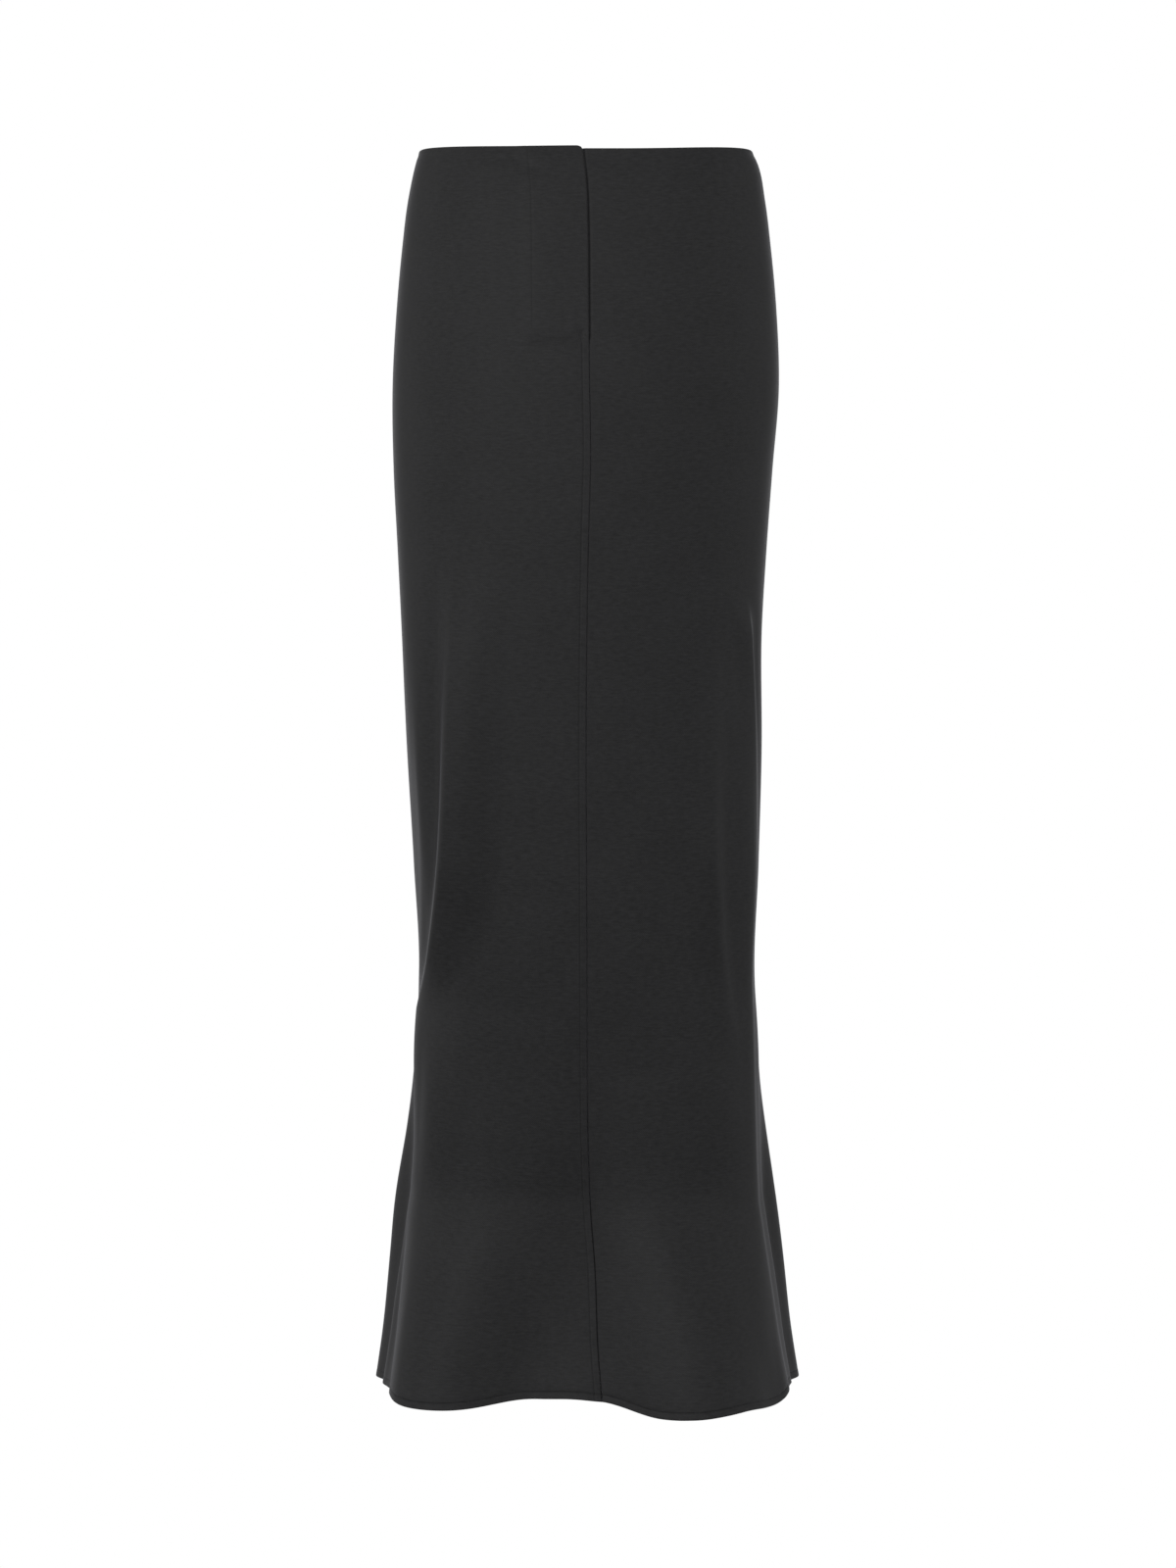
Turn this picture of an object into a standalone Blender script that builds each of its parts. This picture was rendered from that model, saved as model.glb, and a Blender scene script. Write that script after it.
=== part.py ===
"""A long pencil skirt with a fishtail hem, in the hollow form that it has when worn.

Metres, +Z up. The origin is the centre of the waist opening, level with the centre front of the
waist edge. -Y is the front and +X is the wearer's left. The cloth is one smooth surface round the
body, worked out from the sections and folds tabled below. It is cut at the side seams and the
centre front seam into the pieces that are sewn together, and each piece is a wall of cloth.
"""

import math
from collections import namedtuple

import bmesh
import bpy
import numpy as np

LENGTH = 1.047            # centre front, waist edge to hem
WALL = 0.0020             # cloth thickness
SEAM_GAP = 0.0003         # room between two pieces that are sewn together
SIDE_RISE = 0.012         # how much higher the waist edge is at the side seams than in front
BACK_RISE = 0.010         # and at the centre back
FLY_RISE = 0.0024         # and at the fly's free edge
FLY_RISE_SPREAD = 0.150   # over which that dies away towards the side

FLY_LENGTH = 0.154        # waist edge to the end of the opening
FLY_WIDTH = 0.047         # free edge to the line that holds the fly facing
FLY_LIFT = 0.0012         # how far the fly's outer layer stands off the layers beneath it
FLY_FADE = 0.012          # over which that lift dies away past the fly
UNDERLAP_WIDTH = 0.040    # the strip behind the fly, cut in one with the left front
UNDERLAP_END = 0.158      # waist edge to the lower end of that strip
UNDERLAP_BLEND = 0.014    # over which the left front comes forward again beside and below it
ZIP_THICKNESS = 0.0012
ZIP_TOP = 0.006           # below the waist edge
ZIP_BOTTOM = 0.146
ZIP_COLUMNS = [0.007, 0.014, 0.021, 0.028, 0.035]     # across it, from the fly's free edge

# The zip lies just inside the fly, and the underlap just inside the zip.
ZIP_SHIFT = FLY_LIFT - WALL - SEAM_GAP
UNDERLAP_SHIFT = ZIP_SHIFT - ZIP_THICKNESS - SEAM_GAP

# Level sections of the outer surface.
#   down          below the waist edge
#   left, right   half widths, from the centre line to the viewer's left and right
#   front, back   how far the section reaches from the origin's plane
#   widest        how far behind that plane the section is widest
#   front_square, back_square   2 is an ellipse, and a larger number is more of a rounded box
#   side_seam     how far behind the origin's plane the side seams lie
#   front_seam    the centre front seam, to the viewer's right of the centre line
Section = namedtuple("Section", "down left right front back widest front_square back_square "
                                "side_seam front_seam")
SECTIONS = [
    Section(-0.015, 0.1445, 0.1400, 0.096, 0.092, 0.000, 2.9, 2.4, 0.000, -0.0062),
    Section(0.000, 0.1487, 0.1466, 0.100, 0.097, 0.000, 2.9, 2.4, 0.000, -0.0046),
    Section(0.030, 0.1550, 0.1525, 0.105, 0.105, 0.000, 2.8, 2.4, 0.000, -0.0014),
    Section(0.070, 0.1600, 0.1575, 0.109, 0.114, 0.000, 2.7, 2.4, 0.000, 0.0000),
    Section(0.125, 0.1650, 0.1624, 0.112, 0.122, 0.000, 2.6, 2.4, 0.000, 0.0004),
    Section(0.190, 0.1684, 0.1645, 0.114, 0.125, 0.000, 2.5, 2.4, 0.000, 0.0012),
    Section(0.260, 0.1675, 0.1590, 0.113, 0.121, 0.000, 2.5, 2.4, 0.000, 0.0022),
    Section(0.330, 0.1640, 0.1538, 0.111, 0.113, 0.000, 2.5, 2.4, 0.000, 0.0004),
    Section(0.400, 0.1605, 0.1497, 0.108, 0.107, 0.000, 2.6, 2.4, 0.000, -0.0008),
    Section(0.500, 0.1563, 0.1497, 0.104, 0.102, 0.000, 2.6, 2.4, 0.000, -0.0016),
    Section(0.600, 0.1505, 0.1471, 0.100, 0.099, 0.000, 2.6, 2.4, 0.000, -0.0012),
    Section(0.700, 0.1463, 0.1438, 0.096, 0.098, 0.000, 2.5, 2.4, 0.000, -0.0008),
    Section(0.770, 0.1530, 0.1498, 0.094, 0.101, 0.005, 2.4, 2.3, 0.000, -0.0006),
    Section(0.830, 0.1602, 0.1570, 0.094, 0.107, 0.016, 2.4, 2.2, 0.000, 0.0000),
    Section(0.890, 0.1684, 0.1642, 0.095, 0.116, 0.030, 2.4, 2.2, 0.000, 0.0022),
    Section(0.940, 0.1728, 0.1702, 0.103, 0.128, 0.042, 2.5, 2.2, 0.000, 0.0060),
    Section(1.000, 0.1786, 0.1768, 0.114, 0.146, 0.054, 2.7, 2.2, 0.000, 0.0082),
    Section(1.060, 0.1870, 0.1862, 0.125, 0.164, 0.062, 2.9, 2.2, 0.000, 0.0128),
]

# The largest folds, each a soft ridge or trough that runs down the cloth.
#   start         how the place is measured round the skirt: from the front or back centre line,
#                 or from a side seam, and towards the viewer's right as seen from outside
#   place_top, place_bottom    that distance at the fold's two ends
#   before, after how far it spreads on either side
#   top, full, bottom   how far down it starts, is deepest and ends
#   end_share     how much of the depth is left where it ends
#   depth         outwards, and negative for a trough
Fold = namedtuple("Fold", "name start place_top place_bottom before after top full bottom "
                          "end_share depth")
FOLDS = [
    Fold("left thigh ridge", "front", -0.148, -0.128, 0.034, 0.060, 0.360, 0.570, 0.740, 0.0,
         0.0048),
    Fold("left thigh side", "front", -0.190, -0.170, 0.034, 0.034, 0.420, 0.600, 0.760, 0.0,
         -0.0030),
    Fold("right thigh ridge", "front", 0.136, 0.150, 0.070, 0.040, 0.480, 0.640, 0.800, 0.0,
         0.0030),
    Fold("right thigh trough", "front", 0.142, 0.176, 0.030, 0.030, 0.340, 0.450, 0.620, 0.0,
         -0.0022),
    Fold("left seam pinch", "left seam", 0.000, 0.000, 0.040, 0.075, 0.720, 0.870, 0.990, 0.52,
         -0.0105),
    Fold("right seam pinch", "right seam", 0.000, 0.000, 0.075, 0.040, 0.720, 0.870, 0.990, 0.52,
         -0.0090),
    Fold("left hem lobe", "front", -0.128, -0.140, 0.070, 0.095, 0.850, 1.060, 1.060, 1.0,
         0.0200),
    Fold("middle hem hollow", "front", -0.014, -0.030, 0.080, 0.060, 0.800, 1.000, 1.060, 0.9,
         -0.0060),
    Fold("right hem lobe", "front", 0.080, 0.100, 0.090, 0.085, 0.840, 1.060, 1.060, 1.0, 0.0270),
    Fold("back hem lobe, left", "back", 0.095, 0.110, 0.070, 0.070, 0.860, 1.060, 1.060, 1.0,
         0.0200),
    Fold("back hem hollow", "back", 0.010, 0.018, 0.060, 0.060, 0.880, 1.060, 1.060, 1.0,
         -0.0080),
    Fold("back hem lobe, right", "back", -0.080, -0.092, 0.070, 0.075, 0.840, 1.060, 1.060, 1.0,
         0.0220),
]

# Where the hem hangs lower than level, or higher: the place round the hem from the front centre
# line, how far the dip spreads on either side and how low it hangs.
HemDip = namedtuple("HemDip", "place before after low")
HEM_DIPS = [
    HemDip(-0.115, 0.090, 0.070, 0.0072),
    HemDip(-0.050, 0.050, 0.060, -0.0015),
    HemDip(0.076, 0.065, 0.085, 0.0125),
    HemDip(0.170, 0.075, 0.060, 0.0068),
]

# Rows of the cloth's grid fall on these heights, with even rows between them.
ROW_STOPS = [0.0, ZIP_TOP, ZIP_BOTTOM, UNDERLAP_END, UNDERLAP_END + UNDERLAP_BLEND, 0.700, 0.890,
             LENGTH]
ROW_STEP = 0.026

# Columns next to the centre front, as distances from the seam, and how many follow to the side.
# The layers of the fly share their columns, so that their facets lie on each other.
RIGHT_FRONT_COLUMNS = [SEAM_GAP / 2] + ZIP_COLUMNS + [FLY_WIDTH, FLY_WIDTH + FLY_FADE]
LEFT_FRONT_COLUMNS = [SEAM_GAP / 2, 0.005, 0.010, UNDERLAP_BLEND, 0.034]
UNDERLAP_COLUMNS = [-UNDERLAP_WIDTH] + [-place for place in reversed(ZIP_COLUMNS)]
SIDE_COLUMNS = 11
BACK_COLUMNS = 28

ANGLE_SAMPLES = 1441      # points in which a section's outline is measured
ANGLE_REACH = 1.6 * math.pi
NUDGE = 1e-4              # the step that slopes are taken over

# Colour, roughness and metallic value of each piece.
Finish = namedtuple("Finish", "colour roughness metallic")
CLOTH_FINISH = Finish((0.0165, 0.0165, 0.0175, 1.0), 0.72, 0.0)
ZIP_FINISH = Finish((0.0100, 0.0100, 0.0110, 1.0), 0.55, 0.0)


def remove_objects():
    for old in list(bpy.data.objects):
        bpy.data.objects.remove(old, do_unlink=True)


def make_material(name, finish):
    material = bpy.data.materials.new(name)
    material.use_nodes = True
    shader = material.node_tree.nodes["Principled BSDF"]
    shader.inputs["Base Color"].default_value = finish.colour
    shader.inputs["Roughness"].default_value = finish.roughness
    shader.inputs["Metallic"].default_value = finish.metallic
    material.diffuse_color = finish.colour
    return material


def ease(share):
    """0 to 1 with level ends."""
    share = np.clip(share, 0.0, 1.0)
    return share * share * (3.0 - 2.0 * share)


def hump(distance, before, after):
    """1 at distance 0, falling to 0 at -before and +after."""
    spread = np.where(distance < 0.0, before, after)
    return 0.5 + 0.5 * np.cos(math.pi * np.clip(distance / spread, -1.0, 1.0))


# --- the sections ---------------------------------------------------------------------------

KNOTS = np.array([section.down for section in SECTIONS])
COLUMNS = {name: np.array([getattr(section, name) for section in SECTIONS])
           for name in Section._fields}
SLOPES = {name: np.gradient(values, KNOTS) for name, values in COLUMNS.items()}


def section_size(name, down):
    """One column of the table at any height, as a smooth curve through its rows."""
    down = np.asarray(down, dtype=float)
    low = np.clip(np.searchsorted(KNOTS, down) - 1, 0, len(KNOTS) - 2)
    span = KNOTS[low + 1] - KNOTS[low]
    t = np.clip((down - KNOTS[low]) / span, 0.0, 1.0)
    start, end = COLUMNS[name][low], COLUMNS[name][low + 1]
    start_slope, end_slope = SLOPES[name][low] * span, SLOPES[name][low + 1] * span
    return ((1.0 + 2.0 * t) * (1.0 - t) ** 2 * start + t * (1.0 - t) ** 2 * start_slope
            + t * t * (3.0 - 2.0 * t) * end + t * t * (t - 1.0) * end_slope)


def outline_point(angle, down):
    """x and y of the section's outline, at an angle from the front towards the viewer's right."""
    width = np.where(np.sin(angle) >= 0.0, section_size("right", down),
                     section_size("left", down))
    widest = section_size("widest", down)
    in_front = np.cos(angle) >= 0.0
    depth = np.where(in_front, section_size("front", down) + widest,
                     section_size("back", down) - widest)
    square = np.where(in_front, section_size("front_square", down),
                      section_size("back_square", down))
    reach = (np.abs(np.sin(angle) / width) ** square
             + np.abs(np.cos(angle) / depth) ** square) ** (-1.0 / square)
    return reach * np.sin(angle), widest - reach * np.cos(angle)


Round = namedtuple("Round", "angles places left_seam right_seam girth front_seam")


def measure_round(down):
    """Distances round the level section: from the front centre line, viewer's left negative."""
    angles = np.linspace(-ANGLE_REACH, ANGLE_REACH, ANGLE_SAMPLES)
    x, y = outline_point(angles, down)
    places = np.concatenate([[0.0], np.cumsum(np.hypot(np.diff(x), np.diff(y)))])
    places -= np.interp(0.0, angles, places)
    seam_depth = section_size("side_seam", down)
    right_half = (angles >= 0.0) & (angles <= math.pi / 2)
    left_half = (angles <= 0.0) & (angles >= -math.pi / 2)
    right_seam = np.interp(seam_depth, y[right_half], places[right_half])
    left_seam = np.interp(seam_depth, y[left_half][::-1], places[left_half][::-1])
    girth = np.interp(math.pi, angles, places) - np.interp(-math.pi, angles, places)
    return Round(angles, places, left_seam, right_seam, girth, section_size("front_seam", down))


def fold_depth(place, down, around):
    """How far the folds move the cloth out at a place round the skirt."""
    total = np.zeros_like(place)
    for fold in FOLDS:
        share_down = np.clip((down - fold.top) / (fold.bottom - fold.top), 0.0, 1.0)
        centre = fold.place_top + (fold.place_bottom - fold.place_top) * share_down
        if fold.start == "left seam":
            centre = centre + around.left_seam
        elif fold.start == "right seam":
            centre = centre + around.right_seam
        elif fold.start == "back":
            centre = centre + around.girth / 2
        growth = ease((down - fold.top) / (fold.full - fold.top))
        if fold.bottom > fold.full:
            decay = ease((down - fold.full) / (fold.bottom - fold.full))
            growth = growth * (1.0 + (fold.end_share - 1.0) * decay)
        distance = place - centre
        distance = distance - around.girth * np.round(distance / around.girth)
        total += fold.depth * growth * hump(distance, fold.before, fold.after)
    return total


def waist_rise(angle):
    side = np.sin(angle) ** 4
    return np.where(np.cos(angle) >= 0.0, SIDE_RISE * side,
                    BACK_RISE + (SIDE_RISE - BACK_RISE) * side)


def hem_low(place):
    return sum(dip.low * hump(place - dip.place, dip.before, dip.after) for dip in HEM_DIPS)


def cloth_row(place, share, lap):
    """Points of the outer surface along one row, from 0 at the waist edge to 1 at the hem."""
    down = LENGTH * share
    around = measure_round(down)
    angle = np.interp(place, around.places, around.angles)
    rise = waist_rise(angle) + lap.rise(place, around)
    z = rise - (LENGTH + hem_low(place) + rise) * share
    x, y = outline_point(angle, -z)
    x_before, y_before = outline_point(angle - NUDGE, -z)
    x_after, y_after = outline_point(angle + NUDGE, -z)
    along_x, along_y = x_after - x_before, y_after - y_before
    scale = 1.0 / np.hypot(along_x, along_y)
    out = fold_depth(place, -z, around) + lap.shift(place, -z, around)
    return np.stack([x + out * along_y * scale, y - out * along_x * scale, z], axis=-1)


def wall_points(places, shares, lap, thickness):
    """Outer and inner points of a piece, for a grid of places and a row of shares."""
    outer, inner = [], []
    for place, share in zip(places, shares):
        points = cloth_row(place, share, lap)
        along = cloth_row(place + NUDGE, share, lap) - cloth_row(place - NUDGE, share, lap)
        downwards = cloth_row(place, share + NUDGE, lap) - cloth_row(place, share - NUDGE, lap)
        normal = np.cross(downwards, along)
        normal /= np.linalg.norm(normal, axis=-1, keepdims=True)
        outer.append(points)
        inner.append(points - thickness * normal)
    return np.array(outer), np.array(inner)


# --- the pieces -----------------------------------------------------------------------------

# How a piece differs from the smooth surface at the fly: shift is how far outside it the piece
# lies, and rise is how much higher its waist edge is.
Lap = namedtuple("Lap", "shift rise")


def no_shift(place, down, around):
    return np.zeros_like(place)


def no_rise(place, around):
    return np.zeros_like(place)


def fly_shift(place, down, around):
    """The fly lies over the zip and the underlap, so it stands a little proud."""
    distance = around.front_seam - place
    beside = 1.0 - ease((distance - FLY_WIDTH) / FLY_FADE)
    below = 1.0 - ease((down - FLY_LENGTH) / FLY_FADE)
    return FLY_LIFT * beside * below


def underlap_shift(place, down, around):
    """The left front dips behind the fly, and comes forward beside and below it."""
    distance = place - around.front_seam
    beside = 1.0 - ease(distance / UNDERLAP_BLEND)
    below = 1.0 - ease((down - UNDERLAP_END) / UNDERLAP_BLEND)
    return UNDERLAP_SHIFT * beside * below


def zip_shift(place, down, around):
    return np.full_like(place, ZIP_SHIFT)


def fly_rise(place, around):
    return FLY_RISE * (1.0 - ease((around.front_seam - place) / FLY_RISE_SPREAD))


PLAIN = Lap(no_shift, no_rise)
FLY = Lap(fly_shift, fly_rise)
UNDERLAP = Lap(underlap_shift, no_rise)
ZIP = Lap(zip_shift, no_rise)


def row_shares():
    downs = [ROW_STOPS[0]]
    for start, end in zip(ROW_STOPS, ROW_STOPS[1:]):
        count = math.ceil((end - start) / ROW_STEP)
        downs.extend(np.linspace(start, end, count + 1)[1:])
    return np.array(downs) / LENGTH


def build_wall(name, outer, inner, kept, material):
    """A closed solid from two grids of points, on the cells of the grid that are kept."""
    mesh_data = bmesh.new()
    rows, columns = kept.shape
    corners = {}

    def corner(row, column, layer):
        key = (row, column, layer)
        if key not in corners:
            points = inner if layer else outer
            corners[key] = mesh_data.verts.new(points[row, column])
        return corners[key]

    def is_kept(row, column):
        return 0 <= row < rows and 0 <= column < columns and kept[row, column]

    for row in range(rows):
        for column in range(columns):
            if not kept[row, column]:
                continue
            ring = [(row, column), (row + 1, column), (row + 1, column + 1), (row, column + 1)]
            mesh_data.faces.new([corner(*place, 0) for place in ring])
            mesh_data.faces.new([corner(*place, 1) for place in reversed(ring)])
            beside = [(row, column - 1), (row + 1, column), (row, column + 1), (row - 1, column)]
            for index, neighbour in enumerate(beside):
                if is_kept(*neighbour):
                    continue
                start, end = ring[index], ring[(index + 1) % len(ring)]
                mesh_data.faces.new([corner(*end, 0), corner(*start, 0),
                                     corner(*start, 1), corner(*end, 1)])
    bmesh.ops.recalc_face_normals(mesh_data, faces=mesh_data.faces)
    mesh = bpy.data.meshes.new(name)
    mesh_data.to_mesh(mesh)
    mesh_data.free()
    mesh.materials.append(material)
    mesh.shade_smooth()
    mesh.set_sharp_from_angle(angle=math.radians(50.0))
    piece = bpy.data.objects.new(name, mesh)
    bpy.context.scene.collection.objects.link(piece)
    return piece


def side_places(first, seam, count):
    """Places from the last column near the centre front on to the side seam."""
    return np.linspace(first, seam, count + 1)[1:]


def build_front_right(shares, material):
    places = []
    for share in shares:
        around = measure_round(LENGTH * share)
        near = [around.front_seam - distance for distance in RIGHT_FRONT_COLUMNS]
        far = side_places(near[-1], around.left_seam + SEAM_GAP / 2, SIDE_COLUMNS)
        places.append(np.concatenate([near, far])[::-1])
    outer, inner = wall_points(places, shares, FLY, WALL)
    kept = np.ones((outer.shape[0] - 1, outer.shape[1] - 1), dtype=bool)
    return build_wall("front_right", outer, inner, kept, material)


def build_front_left(shares, material):
    places = []
    for share in shares:
        around = measure_round(LENGTH * share)
        near = [around.front_seam + distance for distance in UNDERLAP_COLUMNS + LEFT_FRONT_COLUMNS]
        far = side_places(near[-1], around.right_seam - SEAM_GAP / 2, SIDE_COLUMNS)
        places.append(np.concatenate([near, far]))
    outer, inner = wall_points(places, shares, UNDERLAP, WALL)
    kept = np.ones((outer.shape[0] - 1, outer.shape[1] - 1), dtype=bool)
    past_underlap = shares[1:] * LENGTH > UNDERLAP_END + NUDGE
    kept[past_underlap, :len(UNDERLAP_COLUMNS)] = False
    return build_wall("front_left", outer, inner, kept, material)


def build_back(shares, material):
    places = []
    for share in shares:
        around = measure_round(LENGTH * share)
        start = around.right_seam + SEAM_GAP / 2
        end = around.girth + around.left_seam - SEAM_GAP / 2
        places.append(np.linspace(start, end, BACK_COLUMNS + 1))
    outer, inner = wall_points(places, shares, PLAIN, WALL)
    kept = np.ones((outer.shape[0] - 1, outer.shape[1] - 1), dtype=bool)
    return build_wall("back", outer, inner, kept, material)


def build_zip(shares, material):
    downs = shares * LENGTH
    zip_shares = shares[(downs > ZIP_TOP - NUDGE) & (downs < ZIP_BOTTOM + NUDGE)]
    places = []
    for share in zip_shares:
        seam = measure_round(LENGTH * share).front_seam
        places.append(np.array([seam - distance for distance in reversed(ZIP_COLUMNS)]))
    outer, inner = wall_points(places, zip_shares, ZIP, ZIP_THICKNESS)
    kept = np.ones((outer.shape[0] - 1, outer.shape[1] - 1), dtype=bool)
    return build_wall("zip", outer, inner, kept, material)


def main():
    remove_objects()
    shares = row_shares()
    build_front_right(shares, make_material("front right cloth", CLOTH_FINISH))
    build_front_left(shares, make_material("front left cloth", CLOTH_FINISH))
    build_back(shares, make_material("back cloth", CLOTH_FINISH))
    build_zip(shares, make_material("zip tape", ZIP_FINISH))


main()
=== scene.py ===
"""A long black pencil skirt with a fishtail hem, in the hollow form that it has when worn.

Metres, +Z up. The origin is the centre of the waist opening, -Y is the front and +X is the wearer's
left. Each panel is a thin shell of cloth on the outer surface of its solid, with the soft creases,
rolled edges, seams and stitching of the real one.
"""

import math
from collections import namedtuple
from functools import lru_cache

import bpy
import numpy as np
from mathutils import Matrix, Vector


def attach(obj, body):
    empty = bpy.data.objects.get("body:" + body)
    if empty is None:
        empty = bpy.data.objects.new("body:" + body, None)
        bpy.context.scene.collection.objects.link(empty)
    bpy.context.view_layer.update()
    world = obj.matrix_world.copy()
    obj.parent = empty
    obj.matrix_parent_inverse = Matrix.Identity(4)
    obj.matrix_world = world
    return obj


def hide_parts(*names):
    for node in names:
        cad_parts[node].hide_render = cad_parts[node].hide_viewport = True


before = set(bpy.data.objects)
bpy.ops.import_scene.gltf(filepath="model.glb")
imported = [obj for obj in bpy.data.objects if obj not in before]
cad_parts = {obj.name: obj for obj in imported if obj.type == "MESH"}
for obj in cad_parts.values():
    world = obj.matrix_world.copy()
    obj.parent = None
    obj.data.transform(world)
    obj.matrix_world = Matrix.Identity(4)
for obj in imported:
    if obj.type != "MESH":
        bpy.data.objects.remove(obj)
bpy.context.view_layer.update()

# --- sizes of the skirt, as in the solids ---

LENGTH = 1.047            # centre front, waist edge to hem
SIDE_RISE = 0.012         # how much higher the waist edge is at the side seams than in front
BACK_RISE = 0.010         # and at the centre back
FLY_RISE = 0.0024         # and at the fly's free edge
FLY_RISE_SPREAD = 0.150   # over which that dies away towards the side
FLY_LENGTH = 0.154        # waist edge to the end of the opening
FLY_WIDTH = 0.047         # free edge to the line that holds the fly facing
FLY_LIFT = 0.0012         # how far the fly's outer layer stands off the layers beneath it
FLY_FADE = 0.012          # over which that lift dies away past the fly
FLY_LAYER = 0.0020        # thickness of the fly, with its facing
UNDERLAP_WIDTH = 0.040    # the strip behind the fly, cut in one with the left front
UNDERLAP_END = 0.158      # waist edge to the lower end of that strip
UNDERLAP_BLEND = 0.007    # over which the left front comes forward again below that strip
LAYER_GAP = 0.0003        # between the fly, the zip and the underlap
ZIP_THICKNESS = 0.0012
ZIP_TOP = 0.006           # below the waist edge
ZIP_BOTTOM = 0.146
ZIP_NEAR, ZIP_FAR = 0.007, 0.035     # its two edges, from the fly's free edge
ZIP_SHIFT = FLY_LIFT - FLY_LAYER - LAYER_GAP
UNDERLAP_SHIFT = ZIP_SHIFT - ZIP_THICKNESS - LAYER_GAP
TUCK_START = 0.0002       # past the fly's free edge, where the left front starts to come forward
TUCK_REACH = 0.0024       # and over which it does
DEEP_START = -0.0065      # behind the fly, where the underlap starts to rise off the zip's plane
DEEP_REACH = 0.0050
WAIST_FOLD = 0.0030       # how far the folded edge of the cloth stands above the solids

# Level sections of the outer surface.
#   down          below the waist edge
#   left, right   half widths, from the centre line to the viewer's left and right
#   front, back   how far the section reaches from the origin's plane
#   widest        how far behind that plane the section is widest
#   front_square, back_square   2 is an ellipse, and a larger number is more of a rounded box
#   front_seam    the centre front seam, to the viewer's right of the centre line
Section = namedtuple("Section", "down left right front back widest front_square back_square "
                                "front_seam")
SECTIONS = [
    Section(-0.015, 0.1445, 0.1400, 0.096, 0.092, 0.000, 2.9, 2.4, -0.0062),
    Section(0.000, 0.1487, 0.1466, 0.100, 0.097, 0.000, 2.9, 2.4, -0.0046),
    Section(0.030, 0.1550, 0.1525, 0.105, 0.105, 0.000, 2.8, 2.4, -0.0014),
    Section(0.070, 0.1600, 0.1575, 0.109, 0.114, 0.000, 2.7, 2.4, 0.0000),
    Section(0.125, 0.1650, 0.1624, 0.112, 0.122, 0.000, 2.6, 2.4, 0.0004),
    Section(0.190, 0.1684, 0.1645, 0.114, 0.125, 0.000, 2.5, 2.4, 0.0012),
    Section(0.260, 0.1675, 0.1590, 0.113, 0.121, 0.000, 2.5, 2.4, 0.0022),
    Section(0.330, 0.1640, 0.1538, 0.111, 0.113, 0.000, 2.5, 2.4, 0.0004),
    Section(0.400, 0.1605, 0.1497, 0.108, 0.107, 0.000, 2.6, 2.4, -0.0008),
    Section(0.500, 0.1563, 0.1497, 0.104, 0.102, 0.000, 2.6, 2.4, -0.0016),
    Section(0.600, 0.1505, 0.1471, 0.100, 0.099, 0.000, 2.6, 2.4, -0.0012),
    Section(0.700, 0.1463, 0.1438, 0.096, 0.098, 0.000, 2.5, 2.4, -0.0008),
    Section(0.770, 0.1530, 0.1498, 0.094, 0.101, 0.005, 2.4, 2.3, -0.0006),
    Section(0.830, 0.1602, 0.1570, 0.094, 0.107, 0.016, 2.4, 2.2, 0.0000),
    Section(0.890, 0.1684, 0.1642, 0.095, 0.116, 0.030, 2.4, 2.2, 0.0022),
    Section(0.940, 0.1728, 0.1702, 0.103, 0.128, 0.042, 2.5, 2.2, 0.0060),
    Section(1.000, 0.1786, 0.1768, 0.114, 0.146, 0.054, 2.7, 2.2, 0.0082),
    Section(1.060, 0.1870, 0.1862, 0.125, 0.164, 0.062, 2.9, 2.2, 0.0128),
]

# Folds and creases, each a soft ridge or trough that runs down the cloth.
#   start         how the place is measured round the skirt: from the front or back centre line,
#                 or from a side seam, and towards the viewer's right as seen from outside
#   place_top, place_bottom    that distance at the fold's two ends
#   before, after how far it spreads on either side
#   top, full, bottom   how far down it starts, is deepest and ends
#   end_share     how much of the depth is left where it ends
#   depth         outwards, and negative for a trough
#   curve         1 runs straight, and more stays near its upper place before it bends away
#   sharp         0 has a round crest, and 1 comes to an edge
Fold = namedtuple("Fold", "name start place_top place_bottom before after top full bottom "
                          "end_share depth curve sharp", defaults=[1.0, 0.0])
FOLDS = [
    Fold("left thigh ridge", "front", -0.148, -0.128, 0.034, 0.060, 0.360, 0.570, 0.740, 0.0, 0.0048),
    Fold("left thigh side", "front", -0.190, -0.170, 0.034, 0.034, 0.420, 0.600, 0.760, 0.0, -0.0030),
    Fold("right thigh ridge", "front", 0.136, 0.150, 0.070, 0.040, 0.480, 0.640, 0.800, 0.0, 0.0030),
    Fold("right thigh trough", "front", 0.142, 0.176, 0.030, 0.030, 0.340, 0.450, 0.620, 0.0, -0.0022),
    Fold("left seam pinch", "left seam", 0.000, 0.000, 0.040, 0.075, 0.720, 0.870, 0.990, 0.52, -0.0105),
    Fold("right seam pinch", "right seam", 0.000, 0.000, 0.075, 0.040, 0.720, 0.870, 0.990, 0.52, -0.0090),
    Fold("left hem lobe", "front", -0.128, -0.140, 0.070, 0.095, 0.850, 1.060, 1.060, 1.0, 0.0200),
    Fold("middle hem hollow", "front", -0.014, -0.030, 0.080, 0.060, 0.800, 1.000, 1.060, 0.9, -0.0060),
    Fold("right hem lobe", "front", 0.080, 0.100, 0.090, 0.085, 0.840, 1.060, 1.060, 1.0, 0.0270),
    Fold("back hem lobe, left", "back", 0.095, 0.110, 0.070, 0.070, 0.860, 1.060, 1.060, 1.0, 0.0200),
    Fold("back hem hollow", "back", 0.010, 0.018, 0.060, 0.060, 0.880, 1.060, 1.060, 1.0, -0.0080),
    Fold("back hem lobe, right", "back", -0.080, -0.092, 0.070, 0.075, 0.840, 1.060, 1.060, 1.0, 0.0220),
]
LEFT_CREST = Fold("left crest", "front", -0.1130, -0.1815, 0.0215, 0.048, 0.320, 0.600, 0.724,
                  0.08, 0.0108, 7.3)
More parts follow.
